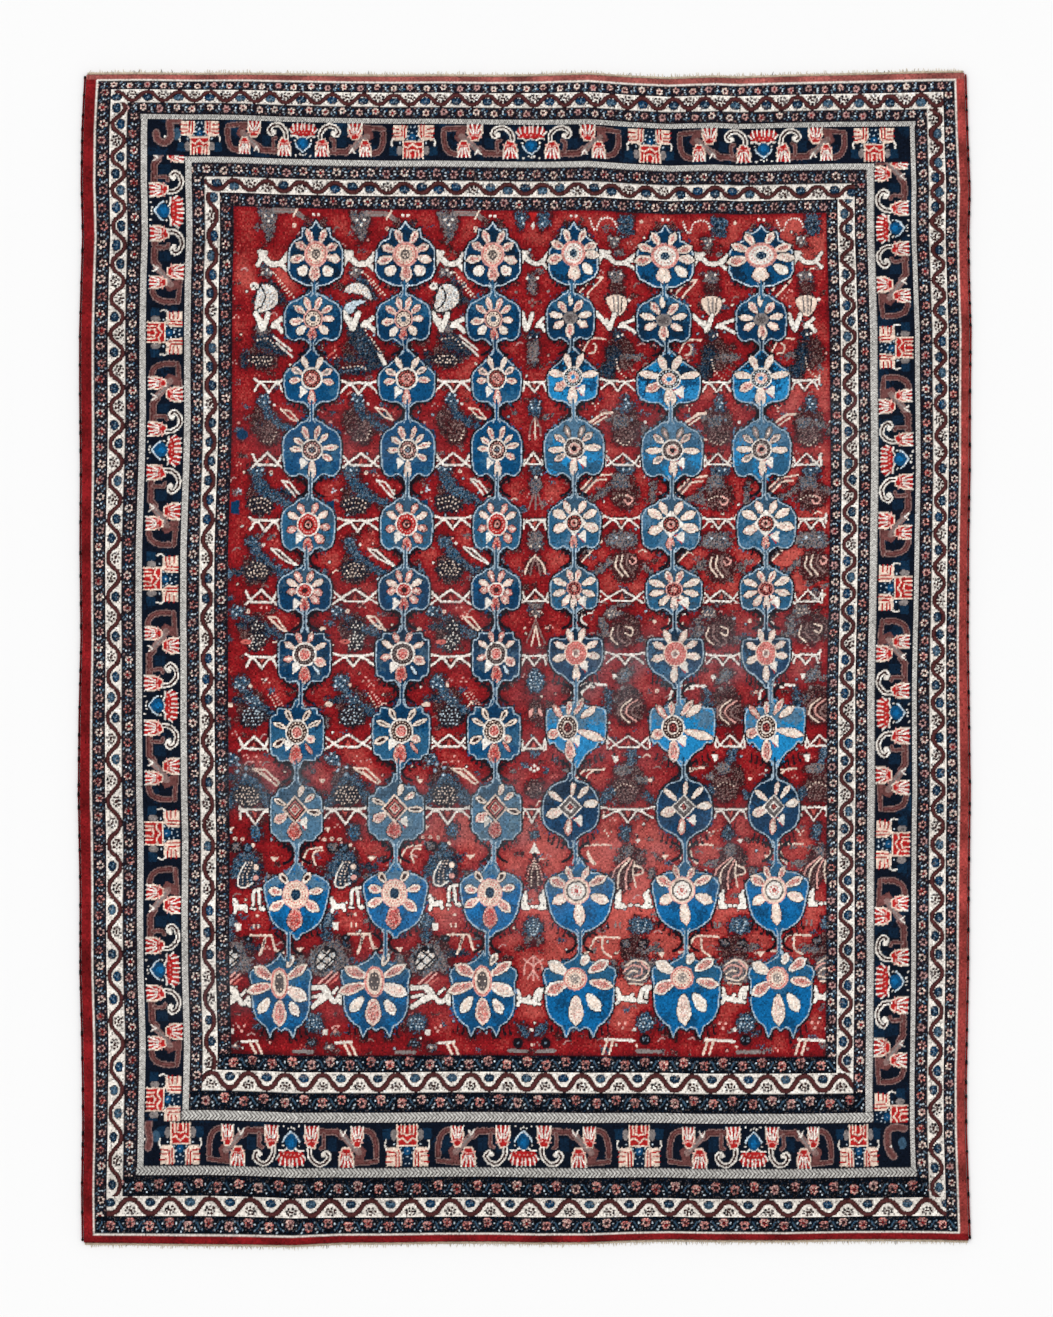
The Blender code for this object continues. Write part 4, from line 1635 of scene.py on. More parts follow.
# The birds by the edge and next to the middle, left, in the first two gaps
OTHER_BIRDS = figures_in("""
blob soot -4,26 10,8
dots ivory 4.4 -9,26 -2,30 4,26
area navy 2,18 12,8 30,-20 20,-24 2,2
blob ivory -21,4 7,6
dots ink 4.4 -22,5
round ink -18,-2 -8,10 8,8 18,-6 18,-24 4,-36 -14,-40 -24,-30
round quilt -15,-3 -7,7 7,5 15,-7 14,-22 3,-32 -13,-36 -20,-28
curve ink 3 -10,4 -4,-10 -8,-24 -16,-32
speckle ash 5.6 4,-14 9,16
beads cream 3.2 5.4 8,26 22,10 40,-14
beads cream 3 5.4 16,12 34,-12
dots cream 6 40,-29

blob soot -4,26 11,10
speckle ash 5.2 -4,26 9,8
area navy -18,14 10,18 22,-2 38,-16 20,-16 4,-8 -10,-6
beads cream 3 5.4 -12,8 6,10 18,-6
line ivory 3.2 14,14 40,-8
line ivory 3.2 18,4 42,-18
blob ink -6,-24 21,12
speckle cream 5 -6,-24 19,10
area dusk -38,-12 -28,-14 -26,-36 -38,-34
dots cream 5.4 38,-30
""")
# Between neighbours in a row: how high its line lies in mm, and what hangs or stands on it
LINKS = ((688, "bones"), (584, "leaps"), (480, "vee"), (342, "tent"), (242, "vee"), (106, "tent"), (6, "vee"),
         (-147, "tent"), (-260, "vee"), (-417, "hares"), (-581, "hounds"))
TALL_LINK_ROWS = (8, 9)
TALL_LINK = 1.35
LINK_GAP = 2                   # between a medallion's widest place and the figure beside it
FIRST_LINK = 56                # how far the figures before and after a row reach beyond it
LAST_LINK = 52
# The beasts of the two lowest rows, the left half's and then the right's
BEASTS = {
    "hares": figures_in("""
line ivory 9 -24,0 -20,-8 -6,-7
line ivory 6 -26,6 -24,-2
line ivory 6 -22,-8 -25,-17
line ivory 6 -6,-6 -3,-15
line ivory 5 9,-4 11,20 32,25
line ivory 5 19,21 21,-2
line ivory 8 24,-8 27,-10
line ivory 4 6,-10 12,-11

line ivory 10 -23,8 -24,-6 -18,-10
line ivory 5 -27,-12 -13,-12
line ivory 4 -22,8 -20,16
line ivory 10 20,8 24,-4 20,-10
line ivory 5 14,-12 29,-12
line ivory 4 21,8 24,17
line ivory 5 -6,-9 -3,-9
line ivory 5 5,-9 8,-9
"""),
    "hounds": figures_in("""
line ivory 8 -30,14 -8,15
line ivory 11 -6,14 2,2 -12,-8
line ivory 8 -12,-8 -26,-19
line ivory 8 4,0 14,-11 22,-6
line ivory 10 25,-2 27,-12
line ivory 5 -10,2 -26,-2
line ivory 5 12,4 20,12

line ivory 9 -27,8 -22,-5 -10,-8 0,-10
line ivory 6 -20,-6 -27,-15
line ivory 6 -8,-8 -2,-1
line ivory 8 9,-12 15,8 29,11
line ivory 6 22,9 20,-6
line ivory 5 13,-12 20,-14
""")}
BEAST_EYES = ((-27, 1), (25, -6))
BEAST_HALF = 29.0
BEAST_RIM = 3.0
NARROW_GAP = 20


def beast(pen, strokes):
    """A pair of pale beasts, each line rimmed with ink."""
    for ink, grow in (("ink", BEAST_RIM), ("ivory", 0.0)):
        for _, _, (width,), points in strokes:
            pen.line(ink, points, width + grow, rounded=len(points) > 2)
    pen.dots("ink", BEAST_EYES, 2.8)


def bones(pen, kind, end, width):
    """The rounded bone figures of the two top rows: a body and its legs, rimmed with ink."""
    body = {"bones": [(4 - end, 9), (-14, 4), (-4, -4), (10, -4), (end - 6, 2)],
            "leaps": [(2 - end, 14), (-15, -6), (-11, -12), (-2, 13)]}[kind]
    legs = {"bones": [[(8 - end, 10), (-end - 1, -6)], [(1 - end, 15), (-14, 13)],
                      [(14, -2), (end, 12)], [(14, -4), (end - 1, -13)]],
            "leaps": [[(8, -4), (end - 4, 5)], [(12, -4), (end - 2, -16)], [(-12, -8), (-16, 2)],
                      [(6, -8), (16, -7)]]}[kind]
    pen.line("ink", body, width + 3, rounded=True)
    for leg in legs:
        pen.line("ink", leg, width + 1)
    pen.line("ivory", body, width, rounded=True)
    for leg in legs:
        pen.line("ivory", leg, width - 2.2)
        pen.dots("ivory", [leg[-1]], width - 0.4)
    pen.dots("ash", body[1:-1], 2.4)


def trestle(pen, kind, half, heavy, size):
    """A tent or a vee of two crossing ivory lines over a small brick heart."""
    thick = 3.6 if heavy else 2.9
    end = half - 1
    wide = size if half > 18 else 0.62 * size
    if kind == "tent":
        peak = [(-end, -10), (0, 15 * size), (end, -10)]
        foot = [(-end, 12), (-17 * wide, -6), (17 * wide, -6), (end, 13)]
        heart = [(-10 * wide, -5), (0, 9 * size), (10 * wide, -5)]
    else:
        peak = [(-end, -17), (-19 * wide, -4), (-12 * wide, -3), (0, -19 * size), (12 * wide, -3),
                (19 * wide, -4), (end, -17)]
        foot = [(-end - 1, 5), (-20 * wide, 0), (20 * wide, 0), (end + 1, 5)]
        heart = [(-8 * wide, -3), (8 * wide, -3), (0, -13 * size)]
    pen.area("dim", heart)
    pen.area("brick", [(u * 0.5, v * 0.8 - 0.4) for u, v in heart])
    if not heavy:
        peak = [(u * 0.9, v * 0.9) for u, v in peak]
    for ink, grow in (("dim", 2.6), ("ivory", 0.0)):
        pen.line(ink, peak, thick + grow)
        pen.line(ink, foot, thick + grow)
    for side in (-1, 1):
        if not heavy:
            pen.line("ivory", [(side * end, -8), (side * end, 8)], thick)
        pen.dots("ivory", [(side * (end - 3), 1)], 2.8)


def link(pen, kind, half, heavy, size):
    """The ivory figure that joins two medallions of a row, half mm long each way."""
    if kind in BEASTS:
        pen.matrix = pen.matrix @ np.diag([half / BEAST_HALF, 1.0])
        beast(pen, BEASTS[kind][not heavy])
    elif kind in ("bones", "leaps"):
        bones(pen, kind, half - 1, (9.2 if heavy else 7.4) - (2.0 if half < NARROW_GAP else 0.0))
    else:
        trestle(pen, kind, half, heavy, size)


FLECK_PITCH = 21.0


def flecks(chart, draws):
    """Small odd marks and smudges strewn over the red between the larger figures."""
    for y in np.arange(-670, 752, FLECK_PITCH):
        for x in np.arange(-500, 512, FLECK_PITCH):
            spot = (x + draws.uniform(-10, 10), y + draws.uniform(-9, 9))
            pen = Pen(chart, *spot, turn=draws.uniform(-25, 25))
            kind = draws.random()
            if kind < 0.30:
                yarn = draws.choice(("soil", "smoke", "feather", "soil"))
                pen.blob(yarn, 0, 0, draws.uniform(4, 11), draws.uniform(2, 5))
            elif kind < 0.42:
                pen.dots("ink", [(0, 0)], 6.4)
                pen.dots(draws.choice(("ivory", "cream", "frost", "salmon")), [(0, 0)], 4.0)
            elif kind < 0.50:
                pen.dots(draws.choice(("salmon", "rose", "blush")), [(0, 2), (4, -2), (-4, -2)], 3.0)
            elif kind < 0.56:
                yarn = draws.choice(("blush", "drab", "cream"))
                pen.line(yarn, [(-6, -2), (0, 3), (6, 1)], 2.4, rounded=True)


# How high the figures of the strips above the first row and below the last stand, in mm
TOP_STRIP_Y = 744.8
LOW_STRIP_Y = -659.0
BIRD_SCALE = (1.18, 1.1)


def gap_figures(chart, gap, draws):
    """The birds and the plant of one gap between rows, or of one of the strips at the two ends."""
    rows = len(MEDALLION_ROWS)
    if gap in (0, rows):
        left, middle, right = LOW_STRIP if gap else TOP_STRIP
        y = LOW_STRIP_Y if gap else TOP_STRIP_Y
    else:
        left, middle, right = LEFT_BIRDS[gap - 1], PLANTS[gap - 1], RIGHT_BIRDS[gap - 1]
        y = gap_middle(gap)
    above = np.array(MEDALLION_ROWS[max(gap - 1, 0)][2])
    columns = (above + MEDALLION_ROWS[min(gap, rows - 1)][2]) / 2
    size = (1.0, 1.0) if gap in (0, rows) else BIRD_SCALE
    places = (columns[0] - 83, columns[:2].mean(), columns[1:3].mean(),
              columns[3:5].mean(), columns[4:].mean(), columns[5] + 78)
    for number, x in enumerate(places):
        on_left = number < 3
        figure = left if on_left else right
        if gap in (1, 2) and number in (0, 2):
            figure = OTHER_BIRDS[gap - 1]
        pen = Pen(chart, x + draws.uniform(-2, 2), y + draws.uniform(-2, 2), *size)
        if 1 < gap < rows:
            pen.blob("soil", -2 if on_left else 2, -14, 22, 26)
            pen.blob("shadow" if on_left else "smoke", draws.uniform(-30, 30), draws.uniform(-22, -6), 20, 6)
        sketch(pen, figure)
    sketch(Pen(chart, columns[2:4].mean(), y), middle)


def figures(chart, draws):
    """Everything between the medallions: birds and plants in the gaps, lines and beasts in the rows."""
    for gap in range(len(MEDALLION_ROWS) + 1):
        gap_figures(chart, gap, draws)
    for x in MEDALLION_ROWS[0][2]:
        tip = Pen(chart, x, 757.0)
        for side in (-1, 1):
            tip.blob("soil", side * 13, -6, 7, 8)
            tip.dots("ivory", [(side * 4.4, 6)], 5.0)
    for row, (height, kind) in enumerate(LINKS):
        middles, halves = MEDALLION_ROWS[row][2:]
        size = TALL_LINK if row in TALL_LINK_ROWS else 1.0
        starts = [middles[0] - halves[0] - FIRST_LINK]
        starts += [middle + half + LINK_GAP for middle, half in zip(middles, halves)]
        stops = [middle - half - LINK_GAP for middle, half in zip(middles, halves)]
        stops += [middles[-1] + halves[-1] + LAST_LINK]
        for column, (start, stop) in enumerate(zip(starts, stops)):
            pen = Pen(chart, (start + stop) / 2, height + draws.uniform(-2, 2))
            link(pen, kind, (stop - start) / 2, column < 3, size)


# ---- Yarn colours: dye lots, wear and the small differences from knot to knot ----

# Where the red's dye lot runs lighter (towards brick) or darker (towards maroon): middle x and y and half
# width and half height in mm, and how far
RED_LOTS = (
    (-320, 672, 300, 26, 0.42), (200, 735, 380, 30, 0.22), (495, 730, 50, 60, 0.50),
    (120, 480, 330, 26, 0.40), (500, 480, 60, 90, 0.50), (240, 240, 280, 130, 0.22),
    (505, 225, 60, 130, 0.45), (300, 140, 230, 40, 0.35), (520, -120, 60, 130, -0.05),
    (-300, 25, 260, 45, -0.22), (-420, -60, 150, 22, 0.10), (-60, -282, 110, 36, 0.70),
    (-100, -350, 160, 130, 0.35), (110, -420, 120, 180, 0.60), (350, -430, 210, 150, 0.66),
    (-440, -420, 110, 140, -0.12), (-380, -620, 200, 80, -0.10), (0, -665, 560, 26, -0.25),
    (-480, -640, 60, 120, -0.42), (-500, 200, 50, 560, -0.12), (14, 240, 26, 420, -0.28),
    (330, 735, 230, 24, 0.20), (430, 660, 60, 60, 0.15), (350, 320, 240, 40, 0.25), (-20, 400, 90, 180, 0.22),
    (430, 100, 120, 130, 0.25), (-300, 180, 190, 70, 0.10), (300, -560, 260, 100, 0.10),
    (130, -560, 100, 90, 0.20),
)
LIGHT_RED = 0.30
LOT_SPREAD = 0.20              # how much a knot's lot differs from its neighbours'
LOT_BY_COURSE = 0.03
LOT_BY_MOTTLE = 0.13
EDGE_SHADE = 0.80
EDGE_MOTTLE = 0.16
MEAN_SHADE = 0.93
SHADE_SPREAD = 0.18            # how much a knot's shade differs from its neighbours'
SHADE_BY_COURSE = 0.02
COURSE_STRIPES = (0.03, 0.9)   # how strong the faint stripes across the rug are, and radians to a course
LOW_END = (600, 400, 0.10)     # the rug darkens from so many mm below its middle, over so many, by so much
COURSE_REACH = 40              # courses each way over which their drift is levelled out
EDGE_REDS = ("edge_red", "edge_brick", "edge_pink")
DARK_SUM = 0.7                 # red, green and blue in all, under which a yarn darkens the red beside it
SHADOW_REACHES = (3, 9)        # in cells
SHADOW_SHARE = 0.9
SHADOW_MOST = 1.25
# Where wear greys the pattern: middle x and y and half width and half height in mm, and how far
WORN = (
    (-405, -215, 90, 45, 0.34), (-130, -270, 150, 60, 0.30), (80, -30, 100, 50, 0.26),
    (260, -10, 120, 60, 0.28), (110, -170, 130, 70, 0.18), (430, 20, 90, 60, 0.20),
    (-320, 380, 160, 50, 0.14), (330, 400, 220, 60, 0.16), (-60, -420, 190, 60, 0.20),
    (-330, -560, 240, 60, 0.14), (250, -330, 240, 80, 0.18), (-200, 60, 160, 80, 0.10),
)
WEAR_GREY = (112, 118, 124)    # sRGB bytes
WEAR_MOST = 0.6


def linear(colours):
    """sRGB bytes as linear light."""
    shares = np.asarray(colours, float) / 255
    return np.where(shares <= 0.04045, shares / 12.92, ((shares + 0.055) / 1.055) ** 2.4)


def patches(chart, places):
    """The sum, at each cell, of soft-edged patches."""
    total = np.zeros(chart.ink.shape)
    for x, y, half_wide, half_tall, amount in places:
        total += amount * np.exp(-(((chart.x - x) / half_wide) ** 4 + ((chart.y - y) / half_tall) ** 4) * 0.7)
    return total


def blurred(shares, reach):
    """The mean of each cell's surroundings, reach cells each way, taken twice to soften it."""
    for axis in (0, 1, 0, 1):
        pad = [(0, 0), (0, 0)]
        pad[axis] = (reach + 1, reach)
        run = np.cumsum(np.pad(shares, pad, mode="edge"), axis=axis, dtype=float)
        first = np.take(run, range(run.shape[axis] - 2 * reach - 1), axis=axis)
        last = np.take(run, range(2 * reach + 1, run.shape[axis]), axis=axis)
        shares = (last - first) / (2 * reach + 1)
    return shares


def each_cell(knots):
    """The knots' values, given to each of their cells."""
    return np.repeat(np.repeat(knots, CELLS, axis=0), CELLS, axis=1)


def course_drift(seeded):
    """How the tone wanders slowly from course to course."""
    courses = np.cumsum(seeded.normal(0, 1, ROWS))
    span = 2 * COURSE_REACH + 1
    courses -= np.convolve(np.pad(courses, COURSE_REACH, mode="edge"), np.full(span, 1 / span), mode="valid")
    return courses[:, None]


def dyed_red(chart, colour, lot):
    """The colours with the red ground dyed towards brick where its lot is above 0, and maroon below."""
    red = (chart.ink == INK["crimson"])[..., None]
    brick, maroon, crimson = (linear(YARNS[name]) for name in ("brick", "dim_red", "crimson"))
    light = np.clip(lot, 0, 1)[..., None]
    dark = np.clip(-lot, 0, 1)[..., None]
    return np.where(red, crimson * (1 - light - dark) + brick * light + maroon * dark, colour)


def figure_shadow(chart, colour):
    """How much of each cell's surroundings the darker figures fill, near by and farther off."""
    figured = ((chart.ink != INK["crimson"]) & (colour.sum(axis=2) < DARK_SUM)).astype(float)
    return np.clip(sum(SHADOW_SHARE * blurred(figured, reach) for reach in SHADOW_REACHES), 0, SHADOW_MOST)


def knot_colours(chart):
    """Each cell's own colour, in linear light, with the yarn's differences from knot to knot."""
    colour = linear(list(YARNS.values()))[chart.ink]
    seeded = np.random.default_rng(7)
    draws = random.Random(4)
    courses = course_drift(seeded)
    lot = patches(chart, RED_LOTS) + each_cell(LOT_BY_COURSE * courses
                                                + seeded.normal(0, LOT_SPREAD, (ROWS, COLUMNS)))
    mottle = ripple(chart.x, chart.y, draws, 70.0) + ripple(chart.x * 0.4, chart.y, draws, 45.0)
    lot = lot + LIGHT_RED + LOT_BY_MOTTLE * mottle - figure_shadow(chart, colour)
    colour = dyed_red(chart, colour, lot)
    edge = np.isin(chart.ink, [INK[name] for name in EDGE_REDS])
    colour = colour * np.where(edge, EDGE_SHADE + EDGE_MOTTLE * mottle, 1)[..., None]
    worn = np.clip(patches(chart, WORN), 0, 1) * (0.7 + 0.3 * ripple(chart.x, chart.y, draws, 60.0))
    worn = np.clip(worn, 0, WEAR_MOST)[..., None]
    colour = colour * (1 - worn) + linear(WEAR_GREY) * worn
    shade = MEAN_SHADE + seeded.normal(0, SHADE_SPREAD, (ROWS, COLUMNS)) + SHADE_BY_COURSE * courses
    strength, step = COURSE_STRIPES
    shade *= 1 + strength * np.sin(np.arange(ROWS) * step)[:, None]
    start, run, darker = LOW_END
    shade = each_cell(shade) * (1 - darker * np.clip((-chart.y - start) / run, 0, 1))
    return np.clip(colour * shade[..., None], 0.0, 1.0)


def drawn_chart():
    """The whole rug's chart."""
    chart = Chart()
    draws = random.Random(11)
    knots, depths = lay_bands(chart)
    stripes(chart, knots, depths)
    guard_flowers(chart, knots, draws)
    vines(chart, knots, draws)
    main_border(chart, knots)
    chart.keep_to(knots["field", "all"])
    flecks(chart, draws)
    figures(chart, draws)
    curls(chart, draws)
    for row in range(len(MEDALLION_ROWS)):
        for column in range(6):
            medallion(chart, row, column, draws)
    necks(chart)
    chart.keep_to()
    return chart


# ---- The cloth: where a place of the chart lies on the rug, as in the part's own solids ----

MM = 0.001
PILE_TOP = 8.0                 # the pile's tips over the floor, and every size below, in mm
PILE_EDGE_TOP = 6.6            # the same at the rug's rim
PILE_EDGE_RUN = 3.0            # how far in from the rim the pile slopes up
FOOT_WEAR = 0.8                # how much lower feet have worn the middle
GAP = 0.3                      # between the sheet and its cords and webs
FOUNDATION_TOP = 2.2
CORD_WIDTH = 4.4
CORD_HEIGHT = 5.6
WEB_WIDTH = 4.0
WEB_THICKNESS = 1.8
# How far the sides stand out past the straight edge, in mm, by how far up the rug
SIDE_WAVER = np.array((
    (-1007.5, -3.0, 2.0), (-920, -1.7, -0.7), (-820, -3.6, -4.2), (-730, -3.2, -4.7), (-640, -1.6, -3.0),
    (-540, 1.0, -1.0), (-400, 0.9, -0.2), (-230, 4.0, 2.1), (-100, 2.7, 0.4), (35, -0.6, -1.6),
    (200, 1.0, -0.6), (330, 0.2, 1.8), (460, 1.6, 2.2), (560, 1.7, 3.4), (650, -0.8, 0.6),
    (725, -3.4, -0.5), (810, -1.0, 1.7), (900, -2.3, -2.0), (1007.5, -7.5, -5.5)))
# The same for the bottom and top ends, by how far across the rug
END_WAVER = np.array((
    (-765.5, 2.0, 2.2), (-670, 2.7, 2.8), (-580, 4.1, 1.6), (-490, 4.8, 2.2), (-405, 6.3, 0.9),
    (-320, 1.7, -0.6), (-230, 1.4, -1.2), (-150, 0.1, -0.6), (-60, -0.2, -1.5), (20, 1.4, -0.4),
    (110, 0.9, 2.4), (180, -2.2, -2.6), (250, -3.8, -5.6), (330, -2.6, -2.6), (370, -2.6, -4.2),
    (450, -2.2, -1.4), (540, -4.1, 0.6), (630, -4.3, 2.7), (700, -3.6, 4.8), (765.5, -1.7, 5.6)))
# How far the borders stray into the rug, in mm, at the left and right by how far up the rug
SIDE_STRAY = np.array((
    (-1007.5, -3, 0), (-790, -2, 0), (-670, 2, 0), (-430, 0, 1), (-305, 2.5, 1.5), (-180, 1, 1), (-60, -1, 0),
    (60, -3.5, -3.5), (180, -2, -5), (300, 1, -5), (420, 5, -4), (540, 5, -2), (665, 4, -1), (785, 5, 2.5),
    (1007.5, 3, 1)))
# The same at the bottom and top, by how far across it
END_STRAY = np.array((
    (-765.5, 1, -10), (-550, 5, -10), (-430, 3, -7), (-310, -2, -6), (-190, -2, -5), (-70, -2, -4.5),
    (50, -2, -2), (170, -5, -1), (290, -7.5, 0), (415, -7, 1.5), (540, -8, 2), (660, -6, 4), (765.5, -4, 4)))
STRAY_NEAR = 60.0              # the straying grows from the edge to this depth
STRAY_PAST = 90.0              # and dies out this far inside the last band


def stray(table, column, place, side, depth):
    """How far a place moves into the rug with the borders of one side."""
    inner_edge = band_limits(BANDS[-1][0])[side][1]
    share = np.clip(depth / STRAY_NEAR, 0, 1) * np.clip((inner_edge + STRAY_PAST - depth) / STRAY_PAST, 0, 1)
    return np.interp(place, table[:, 0], table[:, column]) * share


def woven(x, y):
    """Where the loom's waver puts a place of the straight cloth, in mm."""
    x, y = np.broadcast_arrays(np.asarray(x, float), np.asarray(y, float))
    across = np.clip(x / WIDTH + 0.5, 0, 1)
    along = np.clip(y / LENGTH + 0.5, 0, 1)
    left = np.interp(y, SIDE_WAVER[:, 0], SIDE_WAVER[:, 1])
    right = np.interp(y, SIDE_WAVER[:, 0], SIDE_WAVER[:, 2])
    bottom = np.interp(x, END_WAVER[:, 0], END_WAVER[:, 1])
    top = np.interp(x, END_WAVER[:, 0], END_WAVER[:, 2])
    x_stray = stray(SIDE_STRAY, 1, y, "left", x + WIDTH / 2) - stray(SIDE_STRAY, 2, y, "right", WIDTH / 2 - x)
    y_stray = stray(END_STRAY, 1, x, "bottom", y + LENGTH / 2) - stray(END_STRAY, 2, x, "top", LENGTH / 2 - y)
    return (x - left * (1 - across) + right * across + x_stray,
            y - bottom * (1 - along) + top * along + y_stray)


def frame_shift():
    """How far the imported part's middle is from the straight cloth's middle, in mm."""
    run = np.linspace(-0.5, 0.5, 2001)
    sides = [woven(side * WIDTH / 2, run * LENGTH) for side in (-1, 1)]
    ends = [woven(run * WIDTH, side * LENGTH / 2) for side in (-1, 1)]
    low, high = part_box("rug_sheet")
    x = (low[0] + high[0]) / MM - sides[0][0].min() - sides[1][0].max()
    y = (low[1] + high[1]) / MM - ends[0][1].min() - ends[1][1].max()
    return x / 2, y / 2


SHIFT_X, SHIFT_Y = frame_shift()


def placed(x, y, z):
    """Points of the row frame, in metres, for places on the cloth in mm."""
    px, py = woven(x, y)
    z = np.broadcast_to(z, px.shape)
    return np.stack([(px + SHIFT_X) * MM, (py + SHIFT_Y) * MM, z * MM], axis=-1)


def pile_height(x, y):
    """The pile's top in mm: worn a little lower towards the middle, clipped lower at the rim."""
    wear = np.clip(1 - (2 * x / WIDTH) ** 2, 0, 1) * np.clip(1 - (2 * y / LENGTH) ** 2, 0, 1)
    inside = np.minimum(WIDTH / 2 - np.abs(x), LENGTH / 2 - np.abs(y))
    rim = np.clip(inside / PILE_EDGE_RUN, 0, 1)
    return PILE_EDGE_TOP + (PILE_TOP - FOOT_WEAR * wear - PILE_EDGE_TOP) * rim


def flat_uv(points):
    """Each point's place in the flat bake layout of a piece that lies on the floor."""
    low = points[:, :2].min(axis=0)
    return (points[:, :2] - low) / (points[:, :2].max(axis=0) - low)


def new_mesh(name, points, faces, colours, uv):
    """A mesh object from arrays: points, quads, a colour for each quad or each of its corners, and uvs."""
    mesh = bpy.data.meshes.new(name)
    mesh.vertices.add(len(points))
    mesh.vertices.foreach_set("co", np.asarray(points, np.float32).ravel())
    sides = faces.shape[1]
    mesh.loops.add(faces.size)
    mesh.loops.foreach_set("vertex_index", faces.astype(np.int32).ravel())
    mesh.polygons.add(len(faces))
    mesh.polygons.foreach_set("loop_start", np.arange(0, faces.size, sides, dtype=np.int32))
    mesh.update(calc_edges=True)
    paint = mesh.attributes.new("Yarn", "FLOAT_COLOR", "CORNER")
    full = np.ones((len(faces), sides, 4), np.float32)
    full[..., :3] = colours[:, None, :] if colours.ndim == 2 else colours
    paint.data.foreach_set("color", full.ravel())
    layer = mesh.uv_layers.new(name="OFBake")
    layer.data.foreach_set("uv", np.asarray(uv, np.float32)[faces.ravel()].ravel())
    mesh.validate()
    piece = bpy.data.objects.new(name, mesh)
    bpy.context.scene.collection.objects.link(piece)
    return piece


def grid_faces(rows, columns):
    """Quads, wound to face up, of a grid with rows by columns cells."""
    corner = np.arange(rows * (columns + 1)).reshape(rows, columns + 1)[:, :-1]
    return np.stack([corner, corner + 1, corner + columns + 2, corner + columns + 1], axis=-1).reshape(-1, 4)


# ---- The pile: one small face for every knot, in bands woven one above the other ----

PILE_BANDS = 5
WALL_FOOT = 0.5                # how high over the floor the pile's cut side starts
# painted shade: how dark the pile's cut side is painted, against the colour of its rim knots
WALL_PAINTED_SHADE = 0.7
TUFT_SPREAD = 0.10
TUFT_DROP = 0.12


def pile_band(number, colours, heights):
    """A band of courses of knots, with the pile's cut side where it reaches the rug's rim, that side painted
    darker than its knots as painted shade.
    """
    first = round(ROWS * number / PILE_BANDS)
    last = round(ROWS * (number + 1) / PILE_BANDS)
    rows = last - first
    x = np.arange(COLUMNS + 1) * KNOT_WIDE - WIDTH / 2
    y = np.arange(first, last + 1) * KNOT_TALL - LENGTH / 2
    points = placed(x[None, :], y[:, None], heights[first:last + 1])
    faces = grid_faces(rows, COLUMNS)
    cells = colours[first * CELLS:last * CELLS].reshape(rows, CELLS, COLUMNS, CELLS, 3)
    shades = np.stack([cells[:, 0, :, 0], cells[:, 0, :, 1], cells[:, 1, :, 1], cells[:, 1, :, 0]], axis=2)
    knots = shades.mean(axis=2)
    shades = shades.reshape(-1, 4, 3)
    number_of = np.arange((rows + 1) * (COLUMNS + 1)).reshape(rows + 1, COLUMNS + 1)
    rims = [(number_of[::-1, 0], knots[::-1, 0]), (number_of[:, -1], knots[:, -1])]
    if number == 0:
        rims.append((number_of[0], knots[0]))
    if number == PILE_BANDS - 1:
        rims.append((number_of[-1, ::-1], knots[-1, ::-1]))
    points = points.reshape(-1, 3)
    for rim, rim_colours in rims:
        foot = points[rim].copy()
        foot[:, 2] = WALL_FOOT * MM
        start = len(points)
        points = np.vstack([points, foot])
        feet = np.arange(start, start + len(rim))
        faces = np.vstack([faces, np.stack([feet[:-1], feet[1:], rim[1:], rim[:-1]], axis=1)])
        # the cut side takes its rim knots' colour darkened, as painted shade
        shades = np.vstack([shades, np.repeat(rim_colours[:, None] * WALL_PAINTED_SHADE, 4, axis=1)])
    return new_mesh(f"pile_band_{number + 1}", points, faces, shades, flat_uv(points))


def pile(colours):
    """The whole pile, each tuft's tip a little higher or lower than the next."""
    seeded = np.random.default_rng(23)
    x = np.arange(COLUMNS + 1)[None, :] * KNOT_WIDE - WIDTH / 2
    y = np.arange(ROWS + 1)[:, None] * KNOT_TALL - LENGTH / 2
    heights = pile_height(x, y)
    lumps = seeded.normal(0, TUFT_SPREAD, heights.shape)
    lumps[[0, -1], :] = 0.0
    lumps[:, [0, -1]] = 0.0
    heights = np.minimum(heights + lumps - TUFT_DROP, PILE_TOP)
    return [pile_band(number, colours, heights) for number in range(PILE_BANDS)]


# ---- The foundation: the rug's back, where the knots' backs show the pattern softly ----

BACK_COLUMNS = 144
BACK_ROWS = 181
BACK_REACH = 2                 # knots each way over which the back's colours are averaged
BACK_TAPER = 0.0012            # how much of the way to the middle the back's upper rim is drawn in


def back_colours(colours, x, y):
    """The mean colour of the knots round each place, from the cells' colours."""
    knots = colours.reshape(ROWS, CELLS, COLUMNS, CELLS, 3).mean(axis=(1, 3))
    column = np.clip(((x + WIDTH / 2) / KNOT_WIDE).astype(int), BACK_REACH, COLUMNS - 1 - BACK_REACH)
    row = np.clip(((y + LENGTH / 2) / KNOT_TALL).astype(int), BACK_REACH, ROWS - 1 - BACK_REACH)
    window = range(-BACK_REACH, BACK_REACH + 1)
    soft = np.zeros((len(y), len(x), 3))
    for up in window:
        for over in window:
            soft += knots[row + up][:, column + over] / len(window) ** 2
    return soft.reshape(-1, 3)


